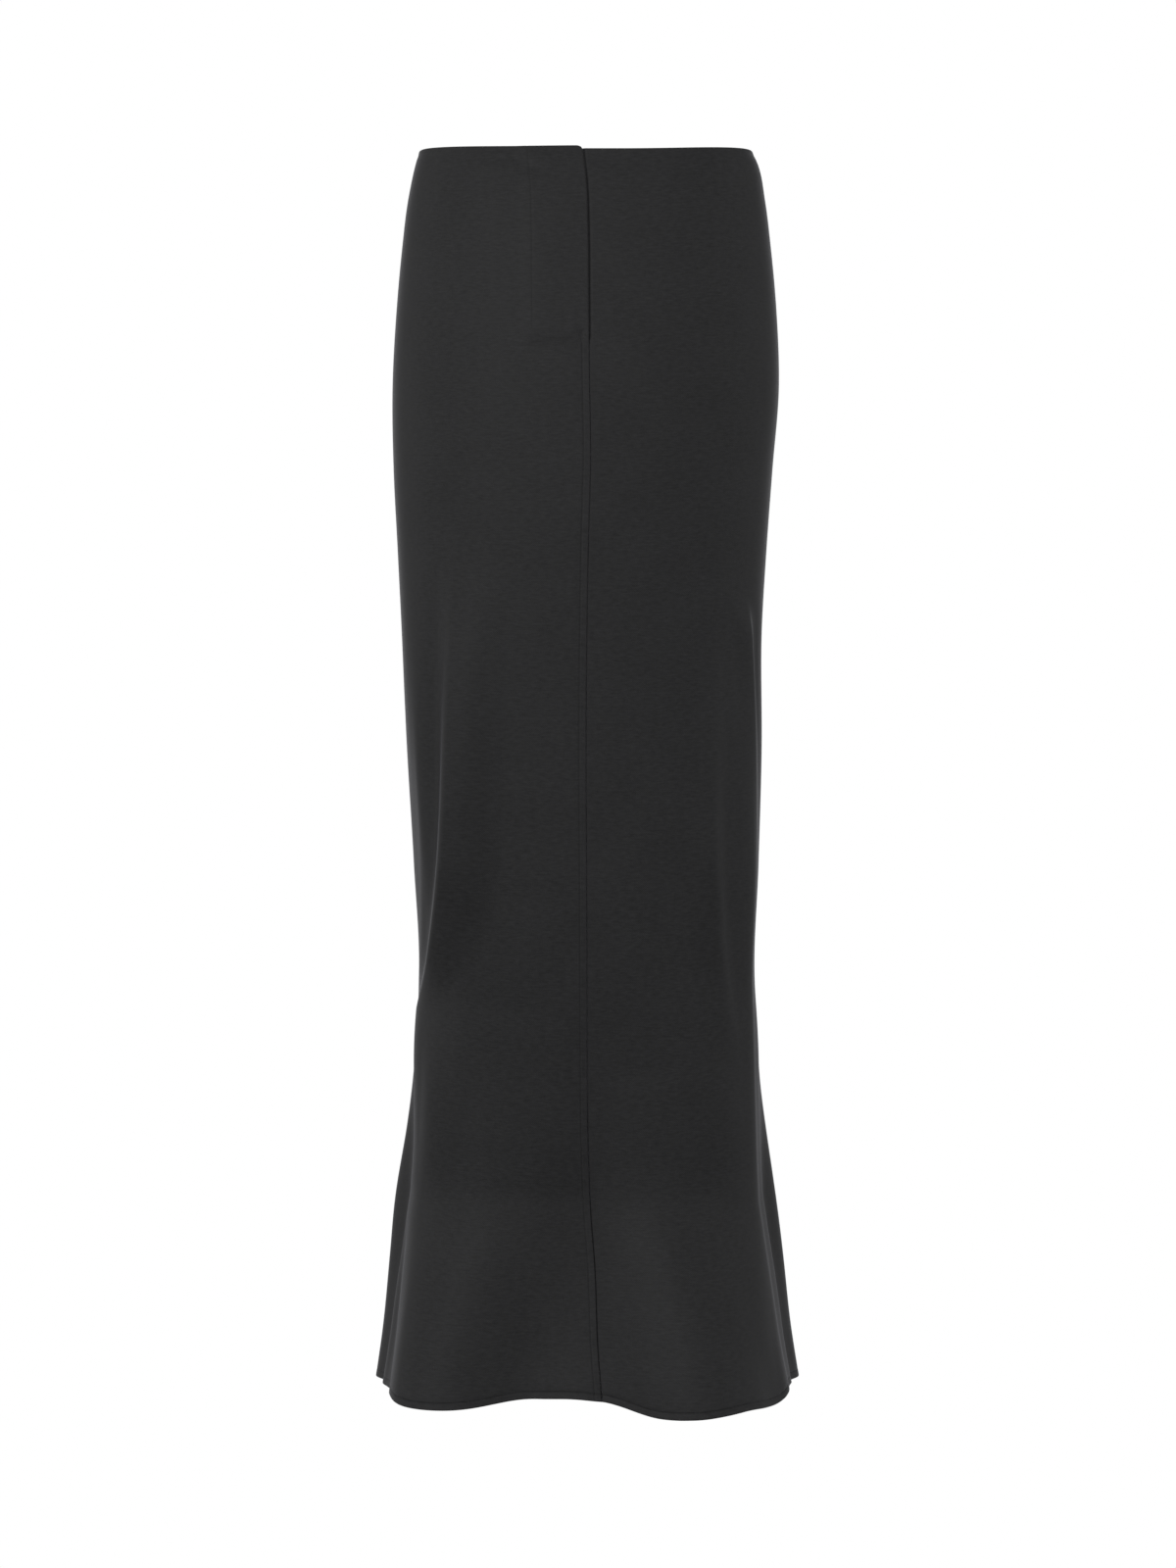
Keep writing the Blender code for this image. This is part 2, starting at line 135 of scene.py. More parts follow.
RIGHT_STREAK = Fold("right streak", "right seam", -0.0780, -0.0400, 0.024, 0.0140, 0.366, 0.408,
                    0.570, 0.25, 0.0040, 0.5)
CREASES = [
    LEFT_CREST,
    RIGHT_STREAK,
    Fold("left crest's upper part", "front", -0.1130, -0.1815, 0.0215, 0.048, 0.320, 0.460, 0.724,
         0.0, 0.0062, 7.3),
    Fold("left crest's foot", "front", -0.1355, -0.2040, 0.028, 0.0215, 0.320, 0.530, 0.724, 0.15,
         -0.0058, 7.3),
    Fold("right streak's foot", "right seam", -0.0640, -0.0260, 0.0140, 0.026, 0.366, 0.408, 0.570,
         0.25, -0.0016, 0.5),
    Fold("left hip pull", "front", -0.156, -0.150, 0.020, 0.022, 0.090, 0.180, 0.300, 0.0, 0.0008),
    Fold("right thigh hollow", "front", 0.119, 0.140, 0.018, 0.020, 0.350, 0.470, 0.640, 0.0, -0.0012),
    Fold("right knee crest", "front", 0.105, 0.140, 0.028, 0.014, 0.440, 0.600, 0.790, 0.0, 0.0038, 4.0),
    Fold("right knee crest's foot", "front", 0.124, 0.159, 0.014, 0.036, 0.440, 0.600, 0.790, 0.0,
         -0.0036, 4.0),
    Fold("right knee line", "front", 0.070, 0.094, 0.016, 0.010, 0.560, 0.680, 0.830, 0.0, 0.0011),
    Fold("left knee line", "front", -0.106, -0.118, 0.012, 0.018, 0.640, 0.760, 0.880, 0.0, 0.0008),
    Fold("centre flare hollow", "front seam", 0.0, 0.0, 0.125, 0.074, 0.640, 1.000, 1.060, 0.90,
         -0.0175, 1.0, 0.8),
    Fold("left hem lobe's crest", "front", -0.128, -0.136, 0.045, 0.075, 0.860, 1.000, 1.060, 1.0, 0.0045),
    Fold("left flare crest", "front", -0.132, -0.142, 0.028, 0.040, 0.700, 0.790, 0.910, 0.0, 0.0038),
    Fold("right flare crest", "front", 0.094, 0.106, 0.048, 0.048, 0.680, 0.790, 0.910, 0.0, 0.0044),
    Fold("left flare hang", "front", -0.062, -0.066, 0.092, 0.080, 0.880, 1.060, 1.060, 1.0, -0.0150),
    Fold("right flare hang", "front", 0.052, 0.056, 0.070, 0.070, 0.880, 1.060, 1.060, 1.0, -0.0040),
    Fold("left flare edge", "left seam", 0.0095, 0.0105, 0.0092, 0.020, 0.820, 0.930, 1.060, 0.9, 0.0014),
    Fold("right flare edge", "right seam", -0.0640, -0.0600, 0.036, 0.0290, 0.850, 0.980, 1.060,
         1.0, 0.0020),
    Fold("left seam trough", "left seam", -0.004, -0.005, 0.030, 0.013, 0.840, 0.960, 1.060, 1.0, -0.0028),
    Fold("right seam trough", "right seam", 0.003, 0.004, 0.014, 0.030, 0.820, 0.940, 1.060, 1.0, -0.0030),
    Fold("right hem ripple", "front seam", 0.034, 0.040, 0.012, 0.016, 0.960, 1.040, 1.060, 1.0, 0.0012),
    Fold("back crest, left", "back", 0.116, 0.158, 0.011, 0.030, 0.350, 0.560, 0.705, 0.2, 0.0034, 3.0),
    Fold("back crest, right", "back", -0.112, -0.146, 0.028, 0.012, 0.380, 0.600, 0.730, 0.2, 0.0030, 2.5),
    Fold("back seat line, left", "back", 0.060, 0.086, 0.022, 0.016, 0.230, 0.330, 0.500, 0.0, -0.0012),
    Fold("back seat line, right", "back", -0.052, -0.090, 0.014, 0.024, 0.250, 0.380, 0.540, 0.0, -0.0010),
    Fold("back knee line", "back", 0.020, 0.038, 0.014, 0.020, 0.540, 0.660, 0.790, 0.0, 0.0010),
    Fold("back flare hollow", "back", -0.016, 0.006, 0.060, 0.085, 0.790, 0.930, 1.060, 0.6,
         -0.0060, 1.0, 0.3),
]

# Short soft creases that lie across the cloth.
#   place, down   its middle, from the front or back centre line and below the waist edge
#   half_length, half_width    how far it reaches along and across itself
#   slant         how far it sinks for each metre towards the viewer's right
#   depth         outwards, and negative for a trough
CrossCrease = namedtuple("CrossCrease", "start place down half_length half_width slant depth")
CROSS_CREASES = [
    CrossCrease("front", 0.078, 0.0062, 0.034, 0.0034, 0.00, -0.00180),
    CrossCrease("front", 0.064, 0.0105, 0.050, 0.0095, 0.00, -0.00170),
    CrossCrease("front", 0.014, 0.0068, 0.016, 0.0036, 0.04, -0.00150),
    CrossCrease("front", -0.048, 0.0138, 0.009, 0.0040, 0.06, -0.00190),
    CrossCrease("front", -0.072, 0.0060, 0.030, 0.0032, 0.00, -0.00080),
    CrossCrease("front", -0.120, 0.060, 0.030, 0.009, 0.20, -0.00035),
    CrossCrease("front", 0.112, 0.075, 0.026, 0.008, -0.24, -0.00035),
    CrossCrease("front", -0.046, 0.880, 0.040, 0.0125, 0.05, -0.00070),
    CrossCrease("front", -0.128, 0.889, 0.034, 0.0120, -0.12, -0.00045),
    CrossCrease("front", 0.070, 0.884, 0.046, 0.0125, -0.04, -0.00050),
    CrossCrease("front", 0.136, 0.892, 0.030, 0.0120, 0.10, -0.00060),
    CrossCrease("front", -0.080, 0.846, 0.036, 0.0100, 0.10, -0.00030),
    CrossCrease("front", -0.075, 0.720, 0.030, 0.011, 0.16, -0.00040),
    CrossCrease("front", 0.052, 0.775, 0.034, 0.010, -0.12, -0.00035),
    CrossCrease("left seam", 0.020, 0.884, 0.026, 0.0100, 0.10, -0.00080),
    CrossCrease("right seam", -0.018, 0.886, 0.024, 0.0100, -0.10, -0.00070),
    CrossCrease("back", 0.066, 0.262, 0.044, 0.011, -0.16, -0.00150),
    CrossCrease("back", -0.070, 0.268, 0.040, 0.010, 0.18, -0.00130),
    CrossCrease("back", 0.046, 0.585, 0.040, 0.009, -0.22, -0.00130),
    CrossCrease("back", -0.060, 0.612, 0.034, 0.010, 0.20, -0.00110),
    CrossCrease("back", -0.010, 0.652, 0.030, 0.008, 0.05, -0.00070),
    CrossCrease("back", 0.070, 0.881, 0.052, 0.0090, 0.06, -0.00120),
    CrossCrease("back", -0.058, 0.887, 0.048, 0.0095, -0.05, -0.00100),
    CrossCrease("back", -0.150, 0.884, 0.030, 0.0090, 0.08, -0.00090),
]

# Where the hem hangs lower than level, or higher: the place round the hem from the front centre
# line, how far the dip spreads on either side and how low it hangs.
HemDip = namedtuple("HemDip", "place before after low")
HEM_DIPS = [
    HemDip(-0.115, 0.090, 0.070, 0.0072),
    HemDip(-0.050, 0.050, 0.060, -0.0015),
    HemDip(0.076, 0.065, 0.085, 0.0125),
    HemDip(0.170, 0.075, 0.060, 0.0068),
    HemDip(0.040, 0.062, 0.042, 0.0034),
    HemDip(-0.045, 0.050, 0.045, 0.0018),
    HemDip(0.155, 0.035, 0.050, 0.0022),
]

ANGLE_SAMPLES = 1441      # points in which a section's outline is measured
ANGLE_REACH = 1.6 * math.pi
NUDGE = 1e-4              # the step that slopes are taken over

# --- sizes of the cloth and its sewing ---

CLOTH = 0.0013            # thickness of one layer with its pressed allowance
TURNED = 0.0020           # where it is turned up at the hem or in at the waist
WAIST_TURN = 0.005
HEM_TURN = 0.0065
TURN_FADE = 0.0015        # over which the turned part's extra thickness ends
SEAM_ROLL = 0.0008        # how far from a seam the cloth rounds down into it
FLY_ROLL = 0.0011
FREE_ROLL = 0.0008        # at the waist edge, the hem and the underlap's edges
CORNER_ROUND = 0.0045     # the fly's corner at the waist
FLY_THIN_BELOW = 0.004    # over which the fly's thickness ends below it and beside its facing
FLY_THIN_BESIDE = 0.002
DART_FROM_BACK = 0.074    # from the back centre line to each of the two darts
DART_LENGTH = 0.118

EDGE_STITCH = 0.0060      # from the centre front seam
HEM_STITCH = 0.0060       # above the hem
ALLOWANCE_LIFT = 0.00032  # the cloth over the pressed allowance beside the centre front seam

# Columns and rows beside an edge or a line of sewing, as distances from it.
EDGE_STEPS = np.array([0.0, 0.0002, 0.0005, 0.0008, 0.0012, 0.0018, 0.0028, 0.0044])
LINE_STEPS = np.array([0.0, 0.0003, 0.0006, 0.0010, 0.0016, 0.0026])
CREST_STEPS = np.arange(11) * 0.0008     # to the right of the left crest and of the right streak
CLOTH_STEP = 0.0036       # the grid's step elsewhere


def ease(share):
    """0 to 1 with level ends."""
    share = np.clip(share, 0.0, 1.0)
    return share * share * (3.0 - 2.0 * share)


def fade(value, start, reach):
    """1 up to the start, and 0 once past its reach."""
    return 1.0 - ease((value - start) / reach)


def unit(vectors):
    return vectors / np.linalg.norm(vectors, axis=-1, keepdims=True)


def hump(distance, before, after, sharp=0.0):
    """1 at distance 0, falling to 0 at -before and +after."""
    spread = np.where(distance < 0.0, before, after)
    share = np.clip(np.abs(distance / spread), 0.0, 1.0)
    return (1.0 - sharp) * (0.5 + 0.5 * np.cos(math.pi * share)) + sharp * (1.0 - share) ** 2


# --- the surface ---

KNOTS = np.array([section.down for section in SECTIONS])
COLUMNS = {name: np.array([getattr(section, name) for section in SECTIONS])
           for name in Section._fields}
SLOPES = {name: np.gradient(values, KNOTS) for name, values in COLUMNS.items()}


def section_size(name, down):
    """One column of the table at any height, as a smooth curve through its rows."""
    down = np.asarray(down, dtype=float)
    low = np.clip(np.searchsorted(KNOTS, down) - 1, 0, len(KNOTS) - 2)
    span = KNOTS[low + 1] - KNOTS[low]
    t = np.clip((down - KNOTS[low]) / span, 0.0, 1.0)
    start, end = COLUMNS[name][low], COLUMNS[name][low + 1]
    start_slope, end_slope = SLOPES[name][low] * span, SLOPES[name][low + 1] * span
    return ((1.0 + 2.0 * t) * (1.0 - t) ** 2 * start + t * (1.0 - t) ** 2 * start_slope
            + t * t * (3.0 - 2.0 * t) * end + t * t * (t - 1.0) * end_slope)


def outline_point(angle, down):
    """x and y of the section's outline, at an angle from the front towards the viewer's right."""
    width = np.where(np.sin(angle) >= 0.0, section_size("right", down),
                     section_size("left", down))
    widest = section_size("widest", down)
    in_front = np.cos(angle) >= 0.0
    depth = np.where(in_front, section_size("front", down) + widest,
                     section_size("back", down) - widest)
    square = np.where(in_front, section_size("front_square", down),
                      section_size("back_square", down))
    reach = (np.abs(np.sin(angle) / width) ** square
             + np.abs(np.cos(angle) / depth) ** square) ** (-1.0 / square)
    return reach * np.sin(angle), widest - reach * np.cos(angle)


# A level section's outline: angles and the distances round it, where its seams lie, and all round.
Round = namedtuple("Round", "down angles places left_seam right_seam girth front_seam")


@lru_cache(maxsize=None)
def measure_round(down):
    """Distances round the level section: from the front centre line, viewer's left negative.

    The side seams lie in the origin's plane.
    """
    angles = np.linspace(-ANGLE_REACH, ANGLE_REACH, ANGLE_SAMPLES)
    x, y = outline_point(angles, down)
    places = np.concatenate([[0.0], np.cumsum(np.hypot(np.diff(x), np.diff(y)))])
    places -= np.interp(0.0, angles, places)
    right_half = (angles >= 0.0) & (angles <= math.pi / 2)
    left_half = (angles <= 0.0) & (angles >= -math.pi / 2)
    right_seam = np.interp(0.0, y[right_half], places[right_half])
    left_seam = np.interp(0.0, y[left_half][::-1], places[left_half][::-1])
    girth = np.interp(math.pi, angles, places) - np.interp(-math.pi, angles, places)
    return Round(down, angles, places, left_seam, right_seam, girth,
                 section_size("front_seam", down))


def start_place(start, around):
    """Where a fold's places are measured from, on one level section."""
    return {"front": 0.0, "back": around.girth / 2, "front seam": around.front_seam,
            "left seam": around.left_seam, "right seam": around.right_seam}[start]


def fold_place(fold, down, around):
    share_down = np.clip((down - fold.top) / (fold.bottom - fold.top), 0.0, 1.0)
    run = (fold.place_bottom - fold.place_top) * share_down ** fold.curve
    return start_place(fold.start, around) + fold.place_top + run


def round_distance(distance, around):
    """The shorter way round the skirt."""
    return distance - around.girth * np.round(distance / around.girth)


def fold_depth(place, down, around):
    """How far the folds and creases move the cloth out at a place round the skirt."""
    total = np.zeros_like(place)
    for fold in FOLDS + CREASES:
        growth = ease((down - fold.top) / (fold.full - fold.top))
        if fold.bottom > fold.full:
            decay = ease((down - fold.full) / (fold.bottom - fold.full))
            growth = growth * (1.0 + (fold.end_share - 1.0) * decay)
        distance = round_distance(place - fold_place(fold, down, around), around)
        total += fold.depth * growth * hump(distance, fold.before, fold.after, fold.sharp)
    for crease in CROSS_CREASES:
        centre = start_place(crease.start, around) + crease.place
        along = round_distance(place - centre, around)
        across = down - crease.down - crease.slant * along
        total += crease.depth * np.exp(-(along / crease.half_length) ** 2
                                       - (across / crease.half_width) ** 2)
    return total


def waist_rise(angle):
    side = np.sin(angle) ** 4
    rise = np.where(np.cos(angle) >= 0.0, SIDE_RISE * side,
                    BACK_RISE + (SIDE_RISE - BACK_RISE) * side)
    return rise + WAIST_FOLD * (1.0 - side)


def hem_low(place):
    return sum(dip.low * hump(place - dip.place, dip.before, dip.after) for dip in HEM_DIPS)


def cloth_row(place, share, lap, around):
    """Points of the outer surface along one row, from 0 at the waist edge to 1 at the hem."""
    angle = np.interp(place, around.places, around.angles)
    rise = waist_rise(angle) + lap.rise(place, around)
    z = rise - (LENGTH + hem_low(place) + rise) * share
    x, y = outline_point(angle, -z)
    x_before, y_before = outline_point(angle - NUDGE, -z)
    x_after, y_after = outline_point(angle + NUDGE, -z)
    along_x, along_y = x_after - x_before, y_after - y_before
    scale = 1.0 / np.hypot(along_x, along_y)
    out = fold_depth(place, -z, around) + lap.shift(place, -z, around)
    return np.stack([x + out * along_y * scale, y - out * along_x * scale, z], axis=-1)


def surface(places, shares, lap):
    """Points of the outer surface and its outward directions, for a grid of places."""
    points, normals = [], []
    for place, share in zip(places, shares):
        around = measure_round(LENGTH * share)
        along = (cloth_row(place + NUDGE, share, lap, around)
                 - cloth_row(place - NUDGE, share, lap, around))
        downwards = (cloth_row(place, share + NUDGE, lap, around)
                     - cloth_row(place, share - NUDGE, lap, around))
        points.append(cloth_row(place, share, lap, around))
        normals.append(unit(np.cross(downwards, along)))
    return np.array(points), np.array(normals)


# --- how the panels lap at the fly ---

Lap = namedtuple("Lap", "shift rise")


def no_shift(place, down, around):
    return np.zeros_like(place)


def no_rise(place, around):
    return np.zeros_like(place)


def fly_shift(place, down, around):
    """The fly lies over the zip and the underlap, so it stands a little proud."""
    distance = around.front_seam - place
    return FLY_LIFT * fade(distance, FLY_WIDTH, FLY_FADE) * fade(down, FLY_LENGTH, FLY_FADE)


def underlap_shift(place, down, around):
    """The left front dips behind the fly and again behind the zip."""
    distance = place - around.front_seam
    behind_fly = ZIP_SHIFT * fade(distance, TUCK_START, TUCK_REACH)
    behind_zip = (UNDERLAP_SHIFT - ZIP_SHIFT) * fade(distance, DEEP_START, DEEP_REACH)
    return (behind_fly + behind_zip) * fade(down, UNDERLAP_END, UNDERLAP_BLEND)


def zip_shift(place, down, around):
    return np.full_like(place, ZIP_SHIFT)


def fly_rise(place, around):
    """The fly's waist edge is a little higher, and its corner is rounded off."""
    distance = around.front_seam - place
    short = np.clip(1.0 - distance / CORNER_ROUND, 0.0, 1.0)
    corner = CORNER_ROUND * (1.0 - np.sqrt(1.0 - short * short))
    return FLY_RISE * fade(distance, 0.0, FLY_RISE_SPREAD) - corner


PLAIN = Lap(no_shift, no_rise)
FLY = Lap(fly_shift, fly_rise)
UNDERLAP = Lap(underlap_shift, no_rise)
ZIP = Lap(zip_shift, no_rise)


# --- grids ---

def graded(lines, steps, counts):
    """Places in order: close beside each line, as its steps say, and even between the lines."""
    places = []
    for start, end, start_steps, end_steps, count in zip(lines, lines[1:], steps, steps[1:],
                                                         counts):
        first = start + start_steps
        last = end - end_steps[::-1]
        middle = np.linspace(first[-1], last[0], count + 2)[1:-1]
        places.extend([*first, *middle, *last[:-1]])
    return np.array([*places, lines[-1]])


def count_between(lines, steps, step):
    """How many even places fit between neighbouring lines, for graded."""
    counts = []
    for start, end, start_steps, end_steps in zip(lines, lines[1:], steps, steps[1:]):
        room = end - start - start_steps[-1] - end_steps[-1]
        counts.append(max(0, round(room / step) - 1))
    return counts


ROW_LINES = [0.0, FLY_LENGTH, UNDERLAP_END, LENGTH - HEM_STITCH, LENGTH]
ROW_STEPS = [EDGE_STEPS, LINE_STEPS[:1], LINE_STEPS[:1], LINE_STEPS[:4], EDGE_STEPS[:5]]


def row_shares():
    counts = count_between(ROW_LINES, ROW_STEPS, CLOTH_STEP)
    return graded(ROW_LINES, ROW_STEPS, counts) / LENGTH


def column_places(shares, lines_of, steps):
    """A row of places for each share. lines_of gives a section's lines from left to right."""
    widest = max((lines_of(measure_round(LENGTH * share)) for share in shares),
                 key=lambda lines: lines[-1] - lines[0])
    counts = count_between(widest, steps, CLOTH_STEP)
    return np.array([graded(lines_of(measure_round(LENGTH * share)), steps, counts)
                     for share in shares])


def rolled(inset):
    """How far in the cloth rounds at an inset of 0 to 1 into the rounding, as a share."""
    return 1.0 - np.sqrt(1.0 - np.clip(inset, 0.0, 1.0) ** 2)


def inset_at(distance, radius):
    return np.clip(1.0 - distance / radius, 0.0, 1.0)


def groove(distance, half_width):
    return np.exp(-(distance / half_width) ** 2)


# What is known at each point of a panel's grid.
Spots = namedtuple("Spots", "place down from_waist to_hem front_seam left_seam right_seam girth")


def spots_of(places, shares):
    rounds = [measure_round(LENGTH * share) for share in shares]
    share = shares[:, None]

    def column(name):
        return np.array([getattr(around, name) for around in rounds])[:, None]

    angle = np.array([np.interp(place, around.places, around.angles)
                      for place, around in zip(places, rounds)])
    long = LENGTH + hem_low(places) + waist_rise(angle)
    return Spots(places, LENGTH * share + 0.0 * places, long * share, long * (1.0 - share),
                 column("front_seam"), column("left_seam"), column("right_seam"),
                 column("girth"))


# --- relief: what sewing and pressing do to the outer face ---

# A pressed line: how deep it is, how far from its edge or seam, and half its width.
Press = namedtuple("Press", "depth place half_width")
UNDERSTITCHING = Press(0.00030, 0.0042, 0.0022)
HEM_LINE = Press(0.00034, HEM_STITCH, 0.0006)
EDGE_LINE = Press(0.00030, EDGE_STITCH, 0.0006)
FACING_LINE = Press(0.00026, FLY_WIDTH, 0.0010)
FACING_END = Press(0.00022, FLY_LENGTH + 0.007, 0.0066)
FLY_END = Press(0.00030, FLY_LENGTH + 0.007, 0.0050)
DART_SEAM = Press(0.00050, 0.0, 0.0006)
# A dimple: how deep it is, how far across and down, and half its width and height.
Dimple = namedtuple("Dimple", "depth across down half_width half_height")
TACK_DIMPLE = Dimple(0.0016, 0.0060, FLY_LENGTH + 0.0062, 0.0032, 0.0024)
DART_DIMPLE = Dimple(0.0007, 0.0, DART_LENGTH, 0.007, 0.010)
# Where a line dies away, and over how much.
FACING_FADE = (FLY_LENGTH - 0.004, 0.006)
FACING_END_FADE = (0.028, 0.030)
FLY_END_FADE = (0.012, 0.020)
FLY_END_START = 0.002     # over which that line begins at the seam
DART_FADE = (DART_LENGTH - 0.006, 0.012)
SEAM_START = 0.010        # over which the edge stitching begins below the fly
STEP_UP = 0.0012          # over which the cloth rises on to what is turned or pressed under it
HEM_LIFT = 0.00012


def pressed(press, distance):
    return -press.depth * groove(distance - press.place, press.half_width)


def dimpled(dimple, across, down):
    return (-dimple.depth * groove(across - dimple.across, dimple.half_width)
            * groove(down - dimple.down, dimple.half_height))


def edge_relief(spots):
    """The waist's understitched facing, and the line of stitching above the hem."""
    return (pressed(UNDERSTITCHING, spots.from_waist) + pressed(HEM_LINE, spots.to_hem)
            + HEM_LIFT * ease((HEM_STITCH - spots.to_hem) / STEP_UP))


def front_right_relief(spots):
    seam = spots.front_seam - spots.place
    allowance = ALLOWANCE_LIFT * ease((EDGE_STITCH - seam) / STEP_UP)
    below_fly = (allowance + pressed(EDGE_LINE, seam)) * ease((spots.down - FLY_LENGTH) / SEAM_START)
    facing = pressed(FACING_LINE, seam) * fade(spots.down, *FACING_FADE)
    facing_end = pressed(FACING_END, spots.down) * fade(seam, *FACING_END_FADE)
    return (edge_relief(spots) + below_fly + facing + facing_end
            + dimpled(TACK_DIMPLE, seam, spots.down))


def front_left_relief(spots):
    seam = spots.place - spots.front_seam
    fly_end = pressed(FLY_END, spots.down) * fade(seam, *FLY_END_FADE) * ease(seam / FLY_END_START)
    return edge_relief(spots) + fly_end


def back_relief(spots):
    total = edge_relief(spots)
    for side in (-1, 1):
        across = spots.place - spots.girth / 2 - side * DART_FROM_BACK
        total = total + pressed(DART_SEAM, across) * fade(spots.down, *DART_FADE)
        total = total + dimpled(DART_DIMPLE, across, spots.down)
    return total


# --- shells ---

MET = 1e-6                # closer than this, the outer and inner faces share a point
SHARP_CLOTH = 65.0        # degrees between two faces, from which their edge is sharp
SHARP_SMALL = 40.0


def shell_layers(places, shares, lap, spots, relief, side_inset, thickness):
    """Outer and inner points. Edges round off to the middle of the cloth, where they meet."""
    points, normals = surface(places, shares, lap)
    turned = np.maximum(fade(spots.to_hem, HEM_TURN, TURN_FADE),
                        fade(spots.from_waist, WAIST_TURN, TURN_FADE))
    thick = np.maximum(thickness, CLOTH + (TURNED - CLOTH) * turned)
    inset = np.sqrt(side_inset ** 2 + inset_at(spots.from_waist, FREE_ROLL) ** 2
                    + inset_at(spots.to_hem, FREE_ROLL) ** 2)
    share = rolled(inset)
    outer = (relief * (1.0 - share) - thick / 2 * share)[..., None]
    inner = (-thick + thick / 2 * share)[..., None]
    return points + outer * normals, points + inner * normals


def add_mesh(name, points, faces, sharp_from, material):
    mesh = bpy.data.meshes.new(name)
    mesh.from_pydata(points.tolist(), [], faces)
    mesh.update()
    mesh.materials.append(material)
    mesh.shade_smooth()
    mesh.set_sharp_from_angle(angle=math.radians(sharp_from))
    piece = bpy.data.objects.new(name, mesh)
    bpy.context.scene.collection.objects.link(piece)
    return piece


def make_shell(name, outer, inner, kept, grain, material):
    """One closed mesh from an outer and an inner grid, on the cells that are kept."""
    rows, columns = outer.shape[:2]
    count = rows * columns
    index = np.arange(count).reshape(rows, columns)
    met = np.linalg.norm(outer - inner, axis=-1) < MET
    inner_index = np.where(met, index, index + count)

    def quads(grid):
        return np.stack([grid[:-1, :-1], grid[1:, :-1], grid[1:, 1:], grid[:-1, 1:]], axis=-1)

    faces = [*quads(index)[kept].tolist(), *quads(inner_index)[kept][:, ::-1].tolist()]
    padded = np.pad(kept, 1)
    beside = {(0, -1): (0, 1), (1, 0): (1, 2), (0, 1): (2, 3), (-1, 0): (3, 0)}
    for (row_step, column_step), (start, end) in beside.items():
        neighbour = padded[1 + row_step:rows + row_step, 1 + column_step:columns + column_step]
        rim = kept & ~neighbour
        for near, far in zip(quads(index)[rim], quads(inner_index)[rim]):
            ring = [near[end], near[start], far[start], far[end]]
            ring = list(dict.fromkeys(int(corner) for corner in ring))
            if len(ring) > 2:
                faces.append(ring)
    used = np.unique(np.concatenate([np.ravel(face) for face in faces]))
    renumber = np.full(2 * count, -1)
    renumber[used] = np.arange(len(used))
    points = np.concatenate([outer.reshape(-1, 3), inner.reshape(-1, 3)])[used]
    faces = [[int(renumber[corner]) for corner in face] for face in faces]
    piece = add_mesh(name, points, faces, SHARP_CLOTH, material)
    grain = np.concatenate([grain.reshape(-1, 3), grain.reshape(-1, 3)])[used]
    attribute = piece.data.attributes.new("grain", "FLOAT_VECTOR", "POINT")
    attribute.data.foreach_set("vector", grain.astype(np.float32).ravel())
    return piece


def grain_of(places, spots, centre):
    """Where each point lies in the flat cloth: across from the panel's middle line, and down."""
    return np.stack([places - centre, -spots.from_waist, 0.0 * places], axis=-1)


def all_cells(places):
    return np.ones((places.shape[0] - 1, places.shape[1] - 1), dtype=bool)


def flat_area(places, shares, kept):
    """Area of the panel's cut, from the widths of its rows."""
    cell = (np.diff(places, axis=1)[:-1] * np.diff(shares)[:, None] * LENGTH)
    return float((cell * kept).sum())


# A panel before it is a mesh: its cells that are kept, and the line its cloth is measured from.
Panel = namedtuple("Panel", "name places shares spots kept centre")


def finish_panel(panel, lap, relief, side_inset, thickness, material):
    outer, inner = shell_layers(panel.places, panel.shares, lap, panel.spots, relief(panel.spots),
                                side_inset, thickness)
    grain = grain_of(panel.places, panel.spots, panel.centre)
    piece = make_shell(panel.name, outer, inner, panel.kept, grain, material)
    flat_area(panel.places, panel.shares, panel.kept)
    return piece


def build_front_right(shares, material):
    def lines_of(around):
        seam = around.front_seam
        crest = fold_place(LEFT_CREST, around.down, around)
        return [around.left_seam, crest, seam - FLY_WIDTH, seam - EDGE_STITCH, seam]

    steps = [EDGE_STEPS, CREST_STEPS, LINE_STEPS, LINE_STEPS[:5], EDGE_STEPS[:6]]
    places = column_places(shares, lines_of, steps)
    spots = spots_of(places, shares)
    seam = spots.front_seam - spots.place
    in_fly = fade(spots.down, FLY_LENGTH, FLY_THIN_BELOW)
    roll = SEAM_ROLL + (FLY_ROLL - SEAM_ROLL) * in_fly
    side_inset = np.maximum(inset_at(seam, roll),
                            inset_at(spots.place - spots.left_seam, SEAM_ROLL))
    thickness = CLOTH + (FLY_LAYER - CLOTH) * in_fly * fade(seam, FLY_WIDTH, FLY_THIN_BESIDE)
    panel = Panel("front_right_cloth", places, shares, spots, all_cells(places), spots.front_seam)
    return finish_panel(panel, FLY, front_right_relief, side_inset, thickness, material)


